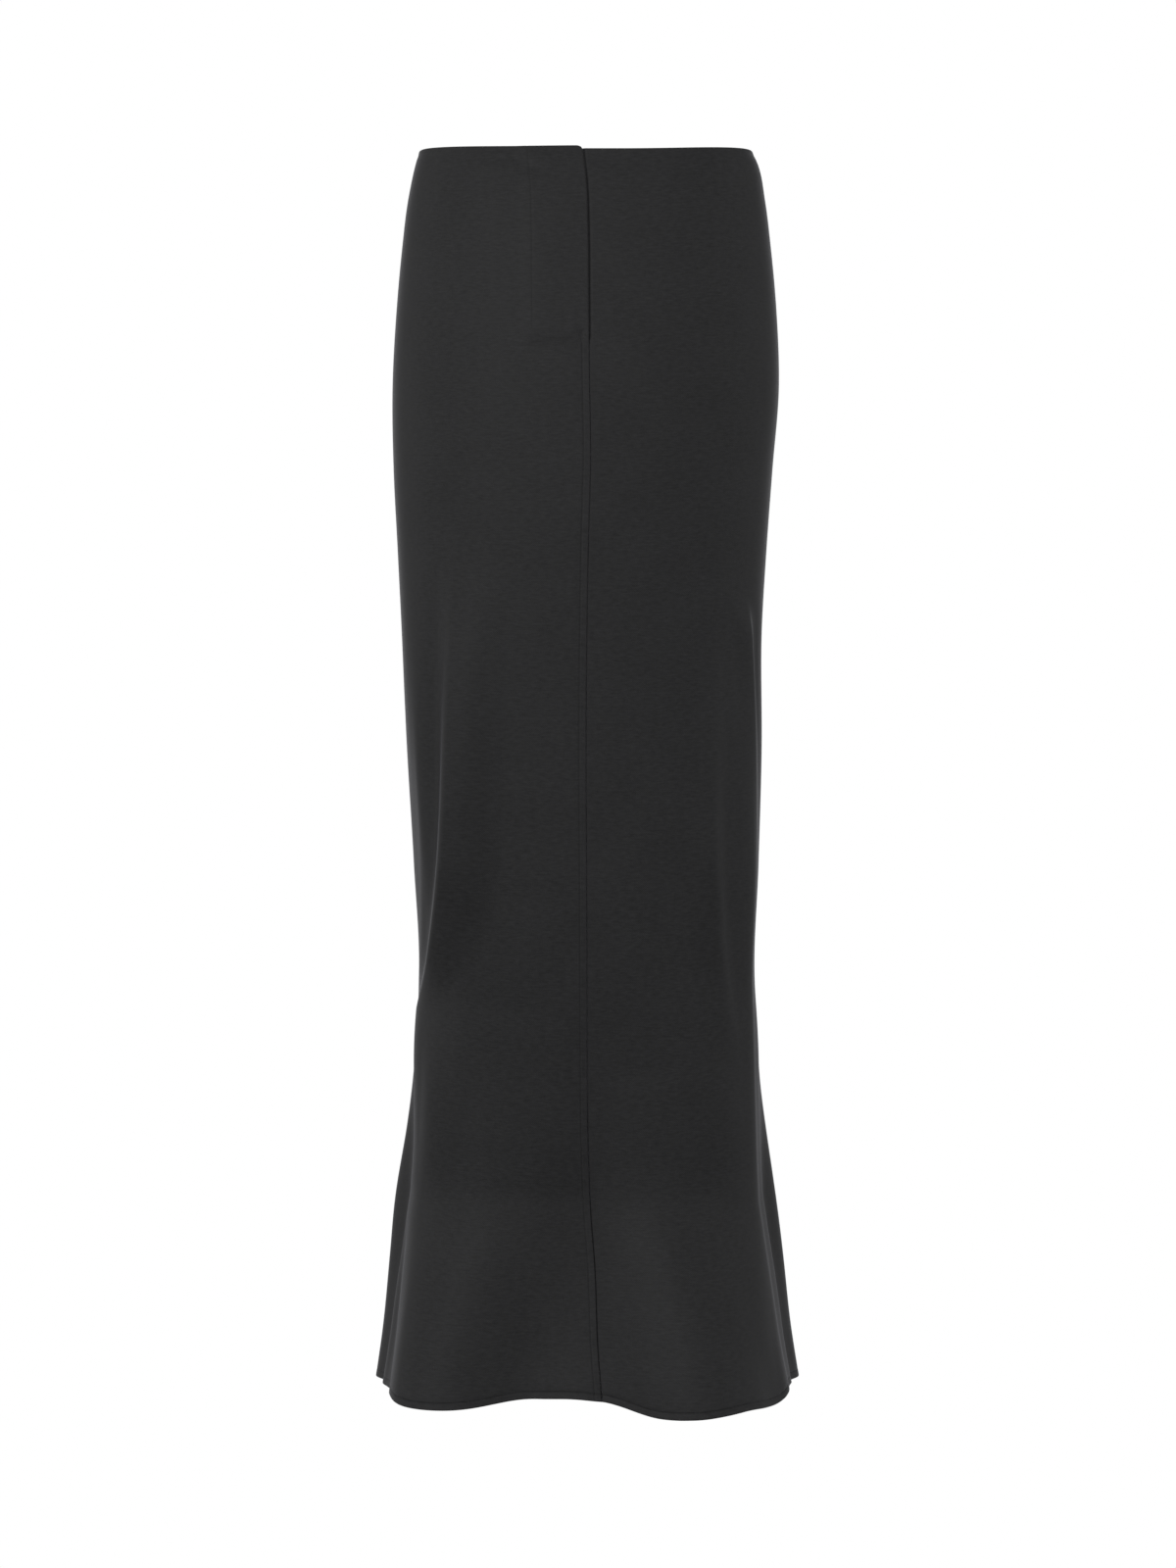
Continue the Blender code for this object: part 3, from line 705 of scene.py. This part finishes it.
def build_front_left(shares, material):
    def lines_of(around):
        seam = around.front_seam
        streak = fold_place(RIGHT_STREAK, around.down, around)
        return [seam - UNDERLAP_WIDTH, seam, streak, around.right_seam]

    steps = [EDGE_STEPS[:5], EDGE_STEPS, CREST_STEPS, EDGE_STEPS]
    places = column_places(shares, lines_of, steps)
    spots = spots_of(places, shares)
    seam = spots.place - spots.front_seam
    end = UNDERLAP_END - spots.down
    free = np.where(seam < 0.0, np.minimum(end, seam + UNDERLAP_WIDTH),
                    np.where(end < 0.0, seam, np.hypot(seam, end)))
    side_inset = np.maximum(inset_at(free, SEAM_ROLL),
                            inset_at(spots.right_seam - spots.place, SEAM_ROLL))
    kept = all_cells(places)
    past_underlap = shares[1:] * LENGTH > UNDERLAP_END + NUDGE
    underlap_cells = places[0, :-1] < measure_round(0.0).front_seam - NUDGE / 2
    kept[np.ix_(past_underlap, underlap_cells)] = False
    panel = Panel("front_left_cloth", places, shares, spots, kept, spots.front_seam)
    return finish_panel(panel, UNDERLAP, front_left_relief, side_inset, CLOTH, material)


def build_back(shares, material):
    def lines_of(around):
        middle = around.girth / 2
        return [around.right_seam, middle - DART_FROM_BACK, middle + DART_FROM_BACK,
                around.girth + around.left_seam]

    steps = [EDGE_STEPS, LINE_STEPS, LINE_STEPS, EDGE_STEPS]
    places = column_places(shares, lines_of, steps)
    spots = spots_of(places, shares)
    side_inset = np.maximum(inset_at(spots.place - spots.right_seam, SEAM_ROLL),
                            inset_at(spots.girth + spots.left_seam - spots.place, SEAM_ROLL))
    panel = Panel("back_cloth", places, shares, spots, all_cells(places), spots.girth / 2)
    return finish_panel(panel, PLAIN, back_relief, side_inset, CLOTH, material)


# --- the zip ---

TAPE = 0.0005             # thickness of the zip's tape
TAPE_OUT = -0.00055       # its outer face, from the zip's own outer surface
TAPE_COLUMNS = 9
RIB_HEIGHT = 0.00006      # of the tape's woven ribs, and half the room that one takes
RIB_HALF = 0.0016
COIL_ROOM = 0.0016        # from the zip's middle line to the edge of each tape
COIL_REACH = 0.0011       # how far each coil's middle lies from that line
COIL_WIDTH = 0.0014       # half its width, half its thickness and the thickness of its thread
COIL_DEPTH = 0.00030
COIL_THREAD = 0.00022
COIL_PITCH = 0.00125
COIL_TOP = 0.0135         # below the waist edge, past the slider
COIL_END = ZIP_BOTTOM - 0.004
COIL_STEPS = 12           # points in one turn, and in the ring of its thread
COIL_RING = 6
ZIP_MIDDLE = (ZIP_NEAR + ZIP_FAR) / 2
ZIP_STEP = 0.004
CORNER_POINTS = 5         # in each round corner of a plate

# Flat plates with round corners and softened edges: half their widths at the upper and lower end,
# where they start and end below the waist edge, the corner's radius, how far out their two faces
# lie from the zip's outer surface, and how much of the edge is softened.
Plate = namedtuple("Plate", "half_top half_bottom top bottom corner out_low out_high edge")
# The closed slider's front and back, the post between them and the pull that lies down the zip.
# It is flat enough for a concealed fly.
SLIDER = [
    Plate(0.0037, 0.0024, 0.0070, 0.0150, 0.0010, -0.00035, 0.00010, 0.0001),
    Plate(0.0037, 0.0024, 0.0070, 0.0150, 0.0010, -0.00130, -0.00105, 0.0001),
    Plate(0.0008, 0.0008, 0.0074, 0.0100, 0.0004, -0.00120, 0.00020, 0.0001),
    Plate(0.0014, 0.0021, 0.0120, 0.0290, 0.0009, 0.00002, 0.00020, 0.00006),
]
BOTTOM_STOP = [
    Plate(0.0022, 0.0022, ZIP_BOTTOM - 0.0062, ZIP_BOTTOM - 0.0030, 0.0005, -0.0011, -0.0001,
          0.0002),
]


def zip_downs():
    return np.arange(ZIP_TOP, ZIP_BOTTOM + ZIP_STEP / 2, ZIP_STEP)


def zip_frames():
    """The zip's middle line: downs, points, directions across and outward."""
    downs = zip_downs()
    places = np.array([[measure_round(down).front_seam - ZIP_MIDDLE] for down in downs])
    points, normals = surface(places, downs / LENGTH, ZIP)
    beside, _ = surface(places + NUDGE, downs / LENGTH, ZIP)
    return downs, points[:, 0], unit(beside - points)[:, 0], normals[:, 0]


def zip_points(frames, across, down, out):
    """Points beside the zip's middle line."""
    downs, middle, side, normal = frames

    def at(values):
        return np.stack([np.interp(down, downs, values[:, axis]) for axis in range(3)], axis=-1)

    return at(middle) + np.asarray(across)[..., None] * at(side) + (
        np.asarray(out)[..., None] * at(normal))


def build_zip_tape(name, near, far, material):
    downs = zip_downs()
    shares = downs / LENGTH
    offsets = np.linspace(-far, -near, TAPE_COLUMNS)
    places = np.array([measure_round(down).front_seam + offsets for down in downs])
    points, normals = surface(places, shares, ZIP)
    ribs = RIB_HEIGHT * np.cos((offsets + ZIP_MIDDLE) / RIB_HALF * math.pi)
    outer = points + (TAPE_OUT + ribs)[None, :, None] * normals
    inner = points + (TAPE_OUT - TAPE) * normals
    spots = spots_of(places, shares)
    tape = make_shell(name, outer, inner, all_cells(places),
                      grain_of(places, spots, spots.front_seam), material)
    return tape


def ring_faces(rings, ring, first=0):
    """Faces between neighbouring rings of points, and one across each end."""
    faces = []
    for row in range(rings - 1):
        for step in range(ring):
            near, far = row * ring + step, row * ring + (step + 1) % ring
            faces.append([near, far, far + ring, near + ring])
    last = (rings - 1) * ring
    faces.append(list(range(ring))[::-1])
    faces.append(list(range(last, last + ring)))
    return [[corner + first for corner in face] for face in faces]


def ring_directions(ring, side, up):
    """The directions of a ring's points from its middle, round each side and up."""
    turn = np.arange(ring) * 2 * math.pi / ring
    return (np.cos(turn)[None, :, None] * side[:, None] + np.sin(turn)[None, :, None] * up[:, None])


def join_parts(parts):
    """Points and faces of several meshes as one."""
    points, faces, count = [], [], 0
    for part_points, part_faces in parts:
        points.append(part_points)
        faces.extend([[corner + count for corner in face] for face in part_faces])
        count += len(part_points)
    return np.concatenate(points), faces


def build_coils(frames, material):
    """Two rows of nylon coil that mesh with each other."""
    parts = []
    turns = (COIL_END - COIL_TOP) / COIL_PITCH
    angle = np.arange(0.0, turns * 2 * math.pi, 2 * math.pi / COIL_STEPS)
    for side, start in ((-1, 0.0), (1, COIL_PITCH / 2)):
        across = side * (COIL_REACH - COIL_WIDTH * np.cos(angle))
        out = TAPE_OUT - TAPE / 2 + COIL_DEPTH * np.sin(angle)
        down = COIL_TOP + start + COIL_PITCH * angle / (2 * math.pi)
        centres = zip_points(frames, across, down, out)
        along = unit(np.gradient(centres, axis=0))
        sides = unit(np.cross(along, np.array([0.0, 0.0, 1.0])))
        ring = ring_directions(COIL_RING, sides, np.cross(sides, along))
        parts.append(((centres[:, None] + COIL_THREAD * ring).reshape(-1, 3),
                      ring_faces(len(centres), COIL_RING)))
    points, faces = join_parts(parts)
    return add_mesh("zip_coils", points, faces, SHARP_SMALL, material)


def rounded_outline(shape):
    """A box with round corners, in metres across and down the zip."""
    points = []
    half_top, half_bottom = shape.half_top - shape.corner, shape.half_bottom - shape.corner
    top, bottom = shape.top + shape.corner, shape.bottom - shape.corner
    for across, down, first in ((half_top, top, -90), (half_bottom, bottom, 0),
                                (-half_bottom, bottom, 90), (-half_top, top, 180)):
        for turn in np.radians(first + np.linspace(0.0, 90.0, CORNER_POINTS)):
            points.append((across + shape.corner * math.cos(turn),
                           down + shape.corner * math.sin(turn)))
    return np.array(points)


def plate_parts(frames, shape):
    outline = rounded_outline(shape)
    away = outline - outline.mean(axis=0)
    size = np.linalg.norm(away, axis=1, keepdims=True)
    rings = []
    for out, shrink in ((shape.out_low, shape.edge), (shape.out_low + shape.edge, 0.0),
                        (shape.out_high - shape.edge, 0.0), (shape.out_high, shape.edge)):
        ring = outline.mean(axis=0) + away * (1.0 - shrink / size)
        rings.append(zip_points(frames, ring[:, 0], ring[:, 1], np.full(len(ring), out)))
    return np.concatenate(rings), ring_faces(len(rings), len(outline))


def build_plates(name, plates, frames, material):
    points, faces = join_parts([plate_parts(frames, shape) for shape in plates])
    return add_mesh(name, points, faces, SHARP_SMALL, material)


# --- stitches ---

STITCH = 0.0021           # length of one stitch that shows
STITCH_PITCH = 0.0028
STITCH_CLEAR = 0.002      # from a side seam to the nearest stitch
EDGE_STITCH_START = FLY_LENGTH + 0.012
THREAD = 0.00014          # half the thread's thickness, and the tack's
TACK_THREAD = THREAD * 1.3
STITCH_RING = 6
TACK_FROM, TACK_TO = 0.0026, 0.0086     # the tack at the fly's end, from the seam
TACK_DOWN = 0.1590
TACK_TALL = 0.0016
TACK_STITCHES = 15

# Along a stitch: share of its length, height above the cloth and thickness, in thread halves.
STITCH_SHAPE = [(0.0, -1.3, 0.7), (0.14, 0.1, 1.0), (0.5, 0.6, 1.05), (0.86, 0.1, 1.0),
                (1.0, -1.3, 0.7)]


def on_cloth(places, shares, lap, relief):
    """Points of the cloth's finished outer face and its outward directions."""
    points, normals = surface(places, shares, lap)
    return points + relief(spots_of(places, shares))[..., None] * normals, normals


def stitch_mesh(name, starts, ends, outs, half_thick, material):
    """One mesh of short threads, each from a start to an end on the cloth."""
    side = unit(np.cross(outs, unit(ends - starts)))
    ring = ring_directions(STITCH_RING, side, outs)
    rings = []
    for share, height, thick in STITCH_SHAPE:
        centre = starts + (ends - starts) * share + height * half_thick * outs
        rings.append(centre[:, None] + thick * half_thick * ring)
    points = np.stack(rings, axis=1).reshape(-1, 3)
    count = len(STITCH_SHAPE) * STITCH_RING
    faces = []
    for stitch in range(len(starts)):
        faces.extend(ring_faces(len(STITCH_SHAPE), STITCH_RING, stitch * count))
    return add_mesh(name, points, faces, SHARP_SMALL, material)


def build_edge_stitching(material):
    """The row of stitches beside the centre front seam, from the fly's end to the hem."""
    starts = np.arange(EDGE_STITCH_START, LENGTH - HEM_STITCH, STITCH_PITCH)
    rows = []
    for downs in (starts, starts + STITCH):
        places = np.array([[measure_round(down).front_seam - EDGE_STITCH] for down in downs])
        rows.append(on_cloth(places, downs / LENGTH, FLY, front_right_relief))
    (start, outs), (end, _) = rows
    return stitch_mesh("edge_stitching", start[:, 0], end[:, 0], outs[:, 0], THREAD, material)


def build_hem_stitching(material):
    """The row of stitches that holds the turned hem, round all three panels."""
    down = LENGTH - HEM_STITCH
    around = measure_round(down)
    shares = np.array([down / LENGTH])
    starts, ends, outs = [], [], []
    for left, right, relief in ((around.left_seam, around.front_seam, front_right_relief),
                                (around.front_seam, around.right_seam, front_left_relief),
                                (around.right_seam, around.girth + around.left_seam, back_relief)):
        places = np.arange(left + STITCH_CLEAR, right - STITCH_CLEAR - STITCH, STITCH_PITCH)
        start, out = on_cloth(places[None], shares, PLAIN, relief)
        end, _ = on_cloth(places[None] + STITCH, shares, PLAIN, relief)
        starts.append(start[0])
        ends.append(end[0])
        outs.append(out[0])
    return stitch_mesh("hem_stitching", np.concatenate(starts), np.concatenate(ends),
                       np.concatenate(outs), THREAD, material)


def build_tack(material):
    """The close zigzag that holds the fly's lower end."""
    distances = np.linspace(TACK_FROM, TACK_TO, TACK_STITCHES)
    lean = 0.5 * (distances[1] - distances[0])
    seam = measure_round(TACK_DOWN).front_seam
    rows = []
    for step in (0.0, 1.0):
        places = (seam - distances - lean * step)[None]
        down = TACK_DOWN + TACK_TALL * step
        rows.append(on_cloth(places, np.array([down / LENGTH]), FLY, front_right_relief))
    (start, outs), (end, _) = rows
    return stitch_mesh("fly_tack", start[0], end[0], outs[0], TACK_THREAD, material)


# --- materials ---

CLOTH_COLOUR = (0.0204, 0.0204, 0.0215)
THREAD_COLOUR = (0.0120, 0.0120, 0.0130)
TAPE_COLOUR = (0.0080, 0.0080, 0.0090)
NYLON_COLOUR = (0.0100, 0.0100, 0.0110)
LACQUER_COLOUR = (0.0160, 0.0160, 0.0170)


class Nodes:
    """A material's node tree, with short ways to add and join nodes."""

    def __init__(self, name):
        self.material = bpy.data.materials.new(name)
        self.material.use_nodes = True
        self.tree = self.material.node_tree
        self.shader = self.tree.nodes["Principled BSDF"]

    def add(self, kind, inputs=(), **settings):
        node = self.tree.nodes.new(kind)
        for name, value in settings.items():
            setattr(node, name, value)
        for name, value in dict(inputs).items():
            if isinstance(value, bpy.types.NodeSocket):
                self.tree.links.new(value, node.inputs[name])
            else:
                node.inputs[name].default_value = value
        return node

    def grain(self):
        """Places in the flat cloth."""
        return self.add("ShaderNodeAttribute", attribute_name="grain").outputs["Vector"]

    def place(self):
        return self.add("ShaderNodeTexCoord").outputs["Object"]

    def noise(self, vector, size, detail=2.0):
        """Noise with spots of about that size, in metres."""
        return self.add("ShaderNodeTexNoise", {"Vector": vector, "Scale": 1.0 / size,
                                               "Detail": detail}).outputs["Fac"]

    def wave(self, vector, scale, **more):
        inputs = {"Vector": vector, "Scale": scale, **more}
        return self.add("ShaderNodeTexWave", inputs, bands_direction="DIAGONAL").outputs["Fac"]

    def stretched(self, vector, scale):
        mapping = self.add("ShaderNodeMapping", {"Vector": vector})
        mapping.inputs["Scale"].default_value = scale
        return mapping.outputs["Vector"]

    def sum(self, *parts):
        """Each part times its share, added up."""
        total = None
        for value, share in parts:
            part = value if share == 1.0 else self.math("MULTIPLY", value, share)
            total = part if total is None else self.math("ADD", total, part)
        return total

    def math(self, operation, first, second):
        return self.add("ShaderNodeMath", {0: first, 1: second},
                        operation=operation).outputs["Value"]

    def colour(self, by, colour, dark, light, low=0.0, high=1.0):
        """From one share of the colour to another, as the value goes from low to high."""
        ramp = self.add("ShaderNodeValToRGB", {"Fac": by})
        for element, share, at in zip(ramp.color_ramp.elements, (dark, light), (low, high)):
            element.position = at
            element.color = (*[channel * share for channel in colour], 1.0)
        self.tree.links.new(ramp.outputs["Color"], self.shader.inputs["Base Color"])

    def roughness(self, by, smooth, rough, low=0.0, high=1.0):
        spread = self.add("ShaderNodeMapRange", {"Value": by, "From Min": low, "From Max": high,
                                                 "To Min": smooth, "To Max": rough})
        self.tree.links.new(spread.outputs["Result"], self.shader.inputs["Roughness"])

    def bump(self, height, strength, distance):
        bump = self.add("ShaderNodeBump", {"Height": height, "Strength": strength,
                                           "Distance": distance})
        self.tree.links.new(bump.outputs["Normal"], self.shader.inputs["Normal"])

    def finish(self, constants=()):
        for name, value in dict(constants).items():
            self.shader.inputs[name].default_value = value
        return self.material


def cloth_material(name):
    """A dense black crepe: a fine pebbled weave with faint slubs across it, and a soft sheen."""
    nodes = Nodes(name)
    grain = nodes.grain()
    slubs = nodes.noise(nodes.stretched(grain, (0.22, 1.0, 1.0)), 0.0015, 3.0)
    pebbles = nodes.noise(grain, 0.0010)
    flecks = nodes.noise(nodes.stretched(grain, (0.6, 1.0, 1.0)), 0.0036, 3.0)
    mottle = nodes.noise(grain, 0.045, 3.0)
    blend = nodes.sum((slubs, 0.34), (pebbles, 0.24), (flecks, 0.28), (mottle, 0.14))
    nodes.colour(blend, CLOTH_COLOUR, 0.55, 1.48, 0.34, 0.66)
    nodes.roughness(blend, 0.40, 0.50, 0.3, 0.7)
    weave = nodes.wave(grain, 380.0, **{"Distortion": 3.0, "Detail": 2.0, "Detail Scale": 2.0})
    nodes.bump(nodes.sum((weave, 0.35), (pebbles, 0.65), (slubs, 0.5)), 0.35, 0.0002)
    return nodes.finish({"Specular IOR Level": 0.25, "Sheen Weight": 0.25,
                         "Sheen Roughness": 0.25, "Sheen Tint": (0.9, 0.9, 1.0, 1.0)})


def thread_material(name):
    """Black polyester thread, twisted, a little glossier than the cloth."""
    nodes = Nodes(name)
    place = nodes.place()
    twist = nodes.wave(place, 900.0, Distortion=1.0)
    nodes.colour(twist, THREAD_COLOUR, 0.55, 1.25)
    nodes.roughness(nodes.noise(place, 0.0006), 0.38, 0.6)
    nodes.bump(twist, 0.4, 0.00005)
    return nodes.finish({"Specular IOR Level": 0.3})


def tape_material(name):
    """Woven polyester tape in a fine herringbone."""
    nodes = Nodes(name)
    grain = nodes.grain()
    weave = nodes.wave(grain, 330.0, Distortion=0.6)
    fuzz = nodes.noise(grain, 0.0012, 3.0)
    nodes.colour(weave, TAPE_COLOUR, 1.0, 2.0)
    nodes.roughness(fuzz, 0.6, 0.8)
    nodes.bump(nodes.sum((weave, 1.0), (fuzz, 0.5)), 0.5, 0.0001)
    return nodes.finish({"Specular IOR Level": 0.2})


def hard_material(name, colour, smooth, rough):
    """Nylon or black lacquer, with faint scuffs."""
    nodes = Nodes(name)
    scuffs = nodes.noise(nodes.place(), 0.0018, 4.0)
    nodes.colour(scuffs, colour, 0.8, 1.2)
    nodes.roughness(scuffs, smooth, rough)
    nodes.bump(scuffs, 0.2, 0.00003)
    return nodes.finish()


# --- the scene ---

CAMERA_DISTANCE = 3.6
CAMERA_HEIGHT = -0.531
SENSOR = 36.0             # millimetres, along the picture's long side
PICTURE_LONG_SIDE = 1600.0
PIXELS_AT_ONE_METRE = 4256.0
FLOOR_HEIGHT = -1.25
FLOOR_REACH = 8.0
FLOOR_TONE = 0.6
FLOOR_ROUGHNESS = 0.9
WHITE = (1.0, 1.0, 1.0, 1.0)

# Softboxes: where each stands, its width and height, and how bright it is.
Softbox = namedtuple("Softbox", "name place width height brightness")
SOFTBOXES = [
    Softbox("key_softbox", (-1.0, -2.4, 0.40), 1.8, 1.0, 0.75),
]
AIM = Vector((0.0, 0.0, -0.30))
# The even light from all round: how far towards the back, up and to the viewer's right, each from
# -1 to 1, and how bright it is there. The three are multiplied.
SURROUND_BACK = [(-1.0, 0.88), (-0.7, 0.96), (-0.4, 1.0), (0.0, 0.94), (0.45, 0.50), (0.72, 0.25),
                 (0.88, 0.35), (1.0, 0.8)]
SURROUND_UP = [(-1.0, 0.50), (-0.35, 0.72), (0.0, 1.0), (0.10, 1.0), (0.40, 0.70), (1.0, 0.55)]
SURROUND_RIGHT = [(-1.0, 1.06), (-0.3, 1.06), (0.2, 0.97), (0.6, 0.84), (1.0, 0.84)]


def add_camera():
    data = bpy.data.cameras.new("camera")
    data.sensor_width = SENSOR
    data.lens = PIXELS_AT_ONE_METRE * SENSOR / PICTURE_LONG_SIDE
    camera = bpy.data.objects.new("camera", data)
    camera.location = (0.0, -CAMERA_DISTANCE, CAMERA_HEIGHT)
    camera.rotation_euler = (math.pi / 2, 0.0, 0.0)
    bpy.context.scene.collection.objects.link(camera)
    bpy.context.scene.camera = camera


def add_softbox(box):
    data = bpy.data.lights.new(box.name, "AREA")
    data.shape = "RECTANGLE"
    data.size = box.width
    data.size_y = box.height
    data.energy = math.pi * box.brightness * box.width * box.height
    light = bpy.data.objects.new(box.name, data)
    light.location = box.place
    light.rotation_euler = (AIM - Vector(box.place)).to_track_quat("-Z", "Y").to_euler()
    bpy.context.scene.collection.objects.link(light)


def add_tone_ramp(tree, direction, stops):
    """Greys that follow one part of the direction, from -1 to 1."""
    spread = tree.nodes.new("ShaderNodeMapRange")
    spread.inputs["From Min"].default_value = -1.0
    tree.links.new(direction, spread.inputs["Value"])
    ramp = tree.nodes.new("ShaderNodeValToRGB")
    ramp.color_ramp.interpolation = "EASE"
    elements = ramp.color_ramp.elements
    while len(elements) < len(stops):
        elements.new(0.5)
    for element, (value, tone) in zip(elements, stops):
        element.position = (value + 1.0) / 2.0
        element.color = (tone, tone, tone, 1.0)
    tree.links.new(spread.outputs["Result"], ramp.inputs["Fac"])
    return ramp.outputs["Color"]


def multiply_tones(tree, first, second):
    product = tree.nodes.new("ShaderNodeMix")
    product.data_type = "RGBA"
    product.blend_type = "MULTIPLY"
    product.inputs["Factor"].default_value = 1.0
    tree.links.new(first, product.inputs["A"])
    tree.links.new(second, product.inputs["B"])
    return product.outputs["Result"]


def add_world():
    """White behind the skirt, and a dimmer even light from all round."""
    world = bpy.data.worlds.new("studio")
    world.use_nodes = True
    tree = world.node_tree
    place = tree.nodes.new("ShaderNodeTexCoord")
    parts = tree.nodes.new("ShaderNodeSeparateXYZ")
    tree.links.new(place.outputs["Generated"], parts.inputs["Vector"])
    tone = add_tone_ramp(tree, parts.outputs["Y"], SURROUND_BACK)
    for part, stops in (("Z", SURROUND_UP), ("X", SURROUND_RIGHT)):
        tone = multiply_tones(tree, tone, add_tone_ramp(tree, parts.outputs[part], stops))
    path = tree.nodes.new("ShaderNodeLightPath")
    mix = tree.nodes.new("ShaderNodeMix")
    mix.data_type = "RGBA"
    mix.inputs["B"].default_value = WHITE
    tree.links.new(tone, mix.inputs["A"])
    tree.links.new(path.outputs["Is Camera Ray"], mix.inputs["Factor"])
    tree.links.new(mix.outputs["Result"], tree.nodes["Background"].inputs["Color"])
    bpy.context.scene.world = world


def add_floor():
    mesh = bpy.data.meshes.new("floor")
    corners = [(-1, -1), (1, -1), (1, 1), (-1, 1)]
    mesh.from_pydata([(x * FLOOR_REACH, y * FLOOR_REACH, FLOOR_HEIGHT) for x, y in corners], [],
                     [(0, 1, 2, 3)])
    floor = bpy.data.objects.new("floor", mesh)
    material = bpy.data.materials.new("floor")
    material.use_nodes = True
    tree = material.node_tree
    shader = tree.nodes["Principled BSDF"]
    shader.inputs["Base Color"].default_value = (FLOOR_TONE, FLOOR_TONE, FLOOR_TONE, 1.0)
    shader.inputs["Roughness"].default_value = FLOOR_ROUGHNESS
    glow = tree.nodes.new("ShaderNodeEmission")
    path = tree.nodes.new("ShaderNodeLightPath")
    mix = tree.nodes.new("ShaderNodeMixShader")
    tree.links.new(path.outputs["Is Camera Ray"], mix.inputs["Fac"])
    tree.links.new(shader.outputs["BSDF"], mix.inputs[1])
    tree.links.new(glow.outputs["Emission"], mix.inputs[2])
    tree.links.new(mix.outputs["Shader"], tree.nodes["Material Output"].inputs["Surface"])
    mesh.materials.append(material)
    bpy.context.scene.collection.objects.link(floor)


def main():
    shares = row_shares()
    cloth = cloth_material("black crepe")
    for node, build in (("front_right", build_front_right), ("front_left", build_front_left),
                        ("back", build_back)):
        piece = build(shares, cloth)
        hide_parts(node)
        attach(piece, "root")
    thread = thread_material("black thread")
    for piece in (build_edge_stitching(thread), build_hem_stitching(thread), build_tack(thread)):
        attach(piece, "root")
    frames = zip_frames()
    tape = tape_material("zip tape")
    lacquer = hard_material("black lacquer", LACQUER_COLOUR, 0.25, 0.4)
    for piece in (
            build_zip_tape("zip_tape_right", ZIP_MIDDLE + COIL_ROOM, ZIP_FAR, tape),
            build_zip_tape("zip_tape_left", ZIP_NEAR, ZIP_MIDDLE - COIL_ROOM, tape),
            build_coils(frames, hard_material("black nylon", NYLON_COLOUR, 0.35, 0.5)),
            build_plates("zip_slider", SLIDER, frames, lacquer),
            build_plates("zip_stop", BOTTOM_STOP, frames, lacquer)):
        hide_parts("zip")
        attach(piece, "root")
    add_camera()
    add_world()
    add_floor()
    for box in SOFTBOXES:
        add_softbox(box)
    view = bpy.context.scene.view_settings
    view.view_transform = "Standard"
    view.look = "None"


main()
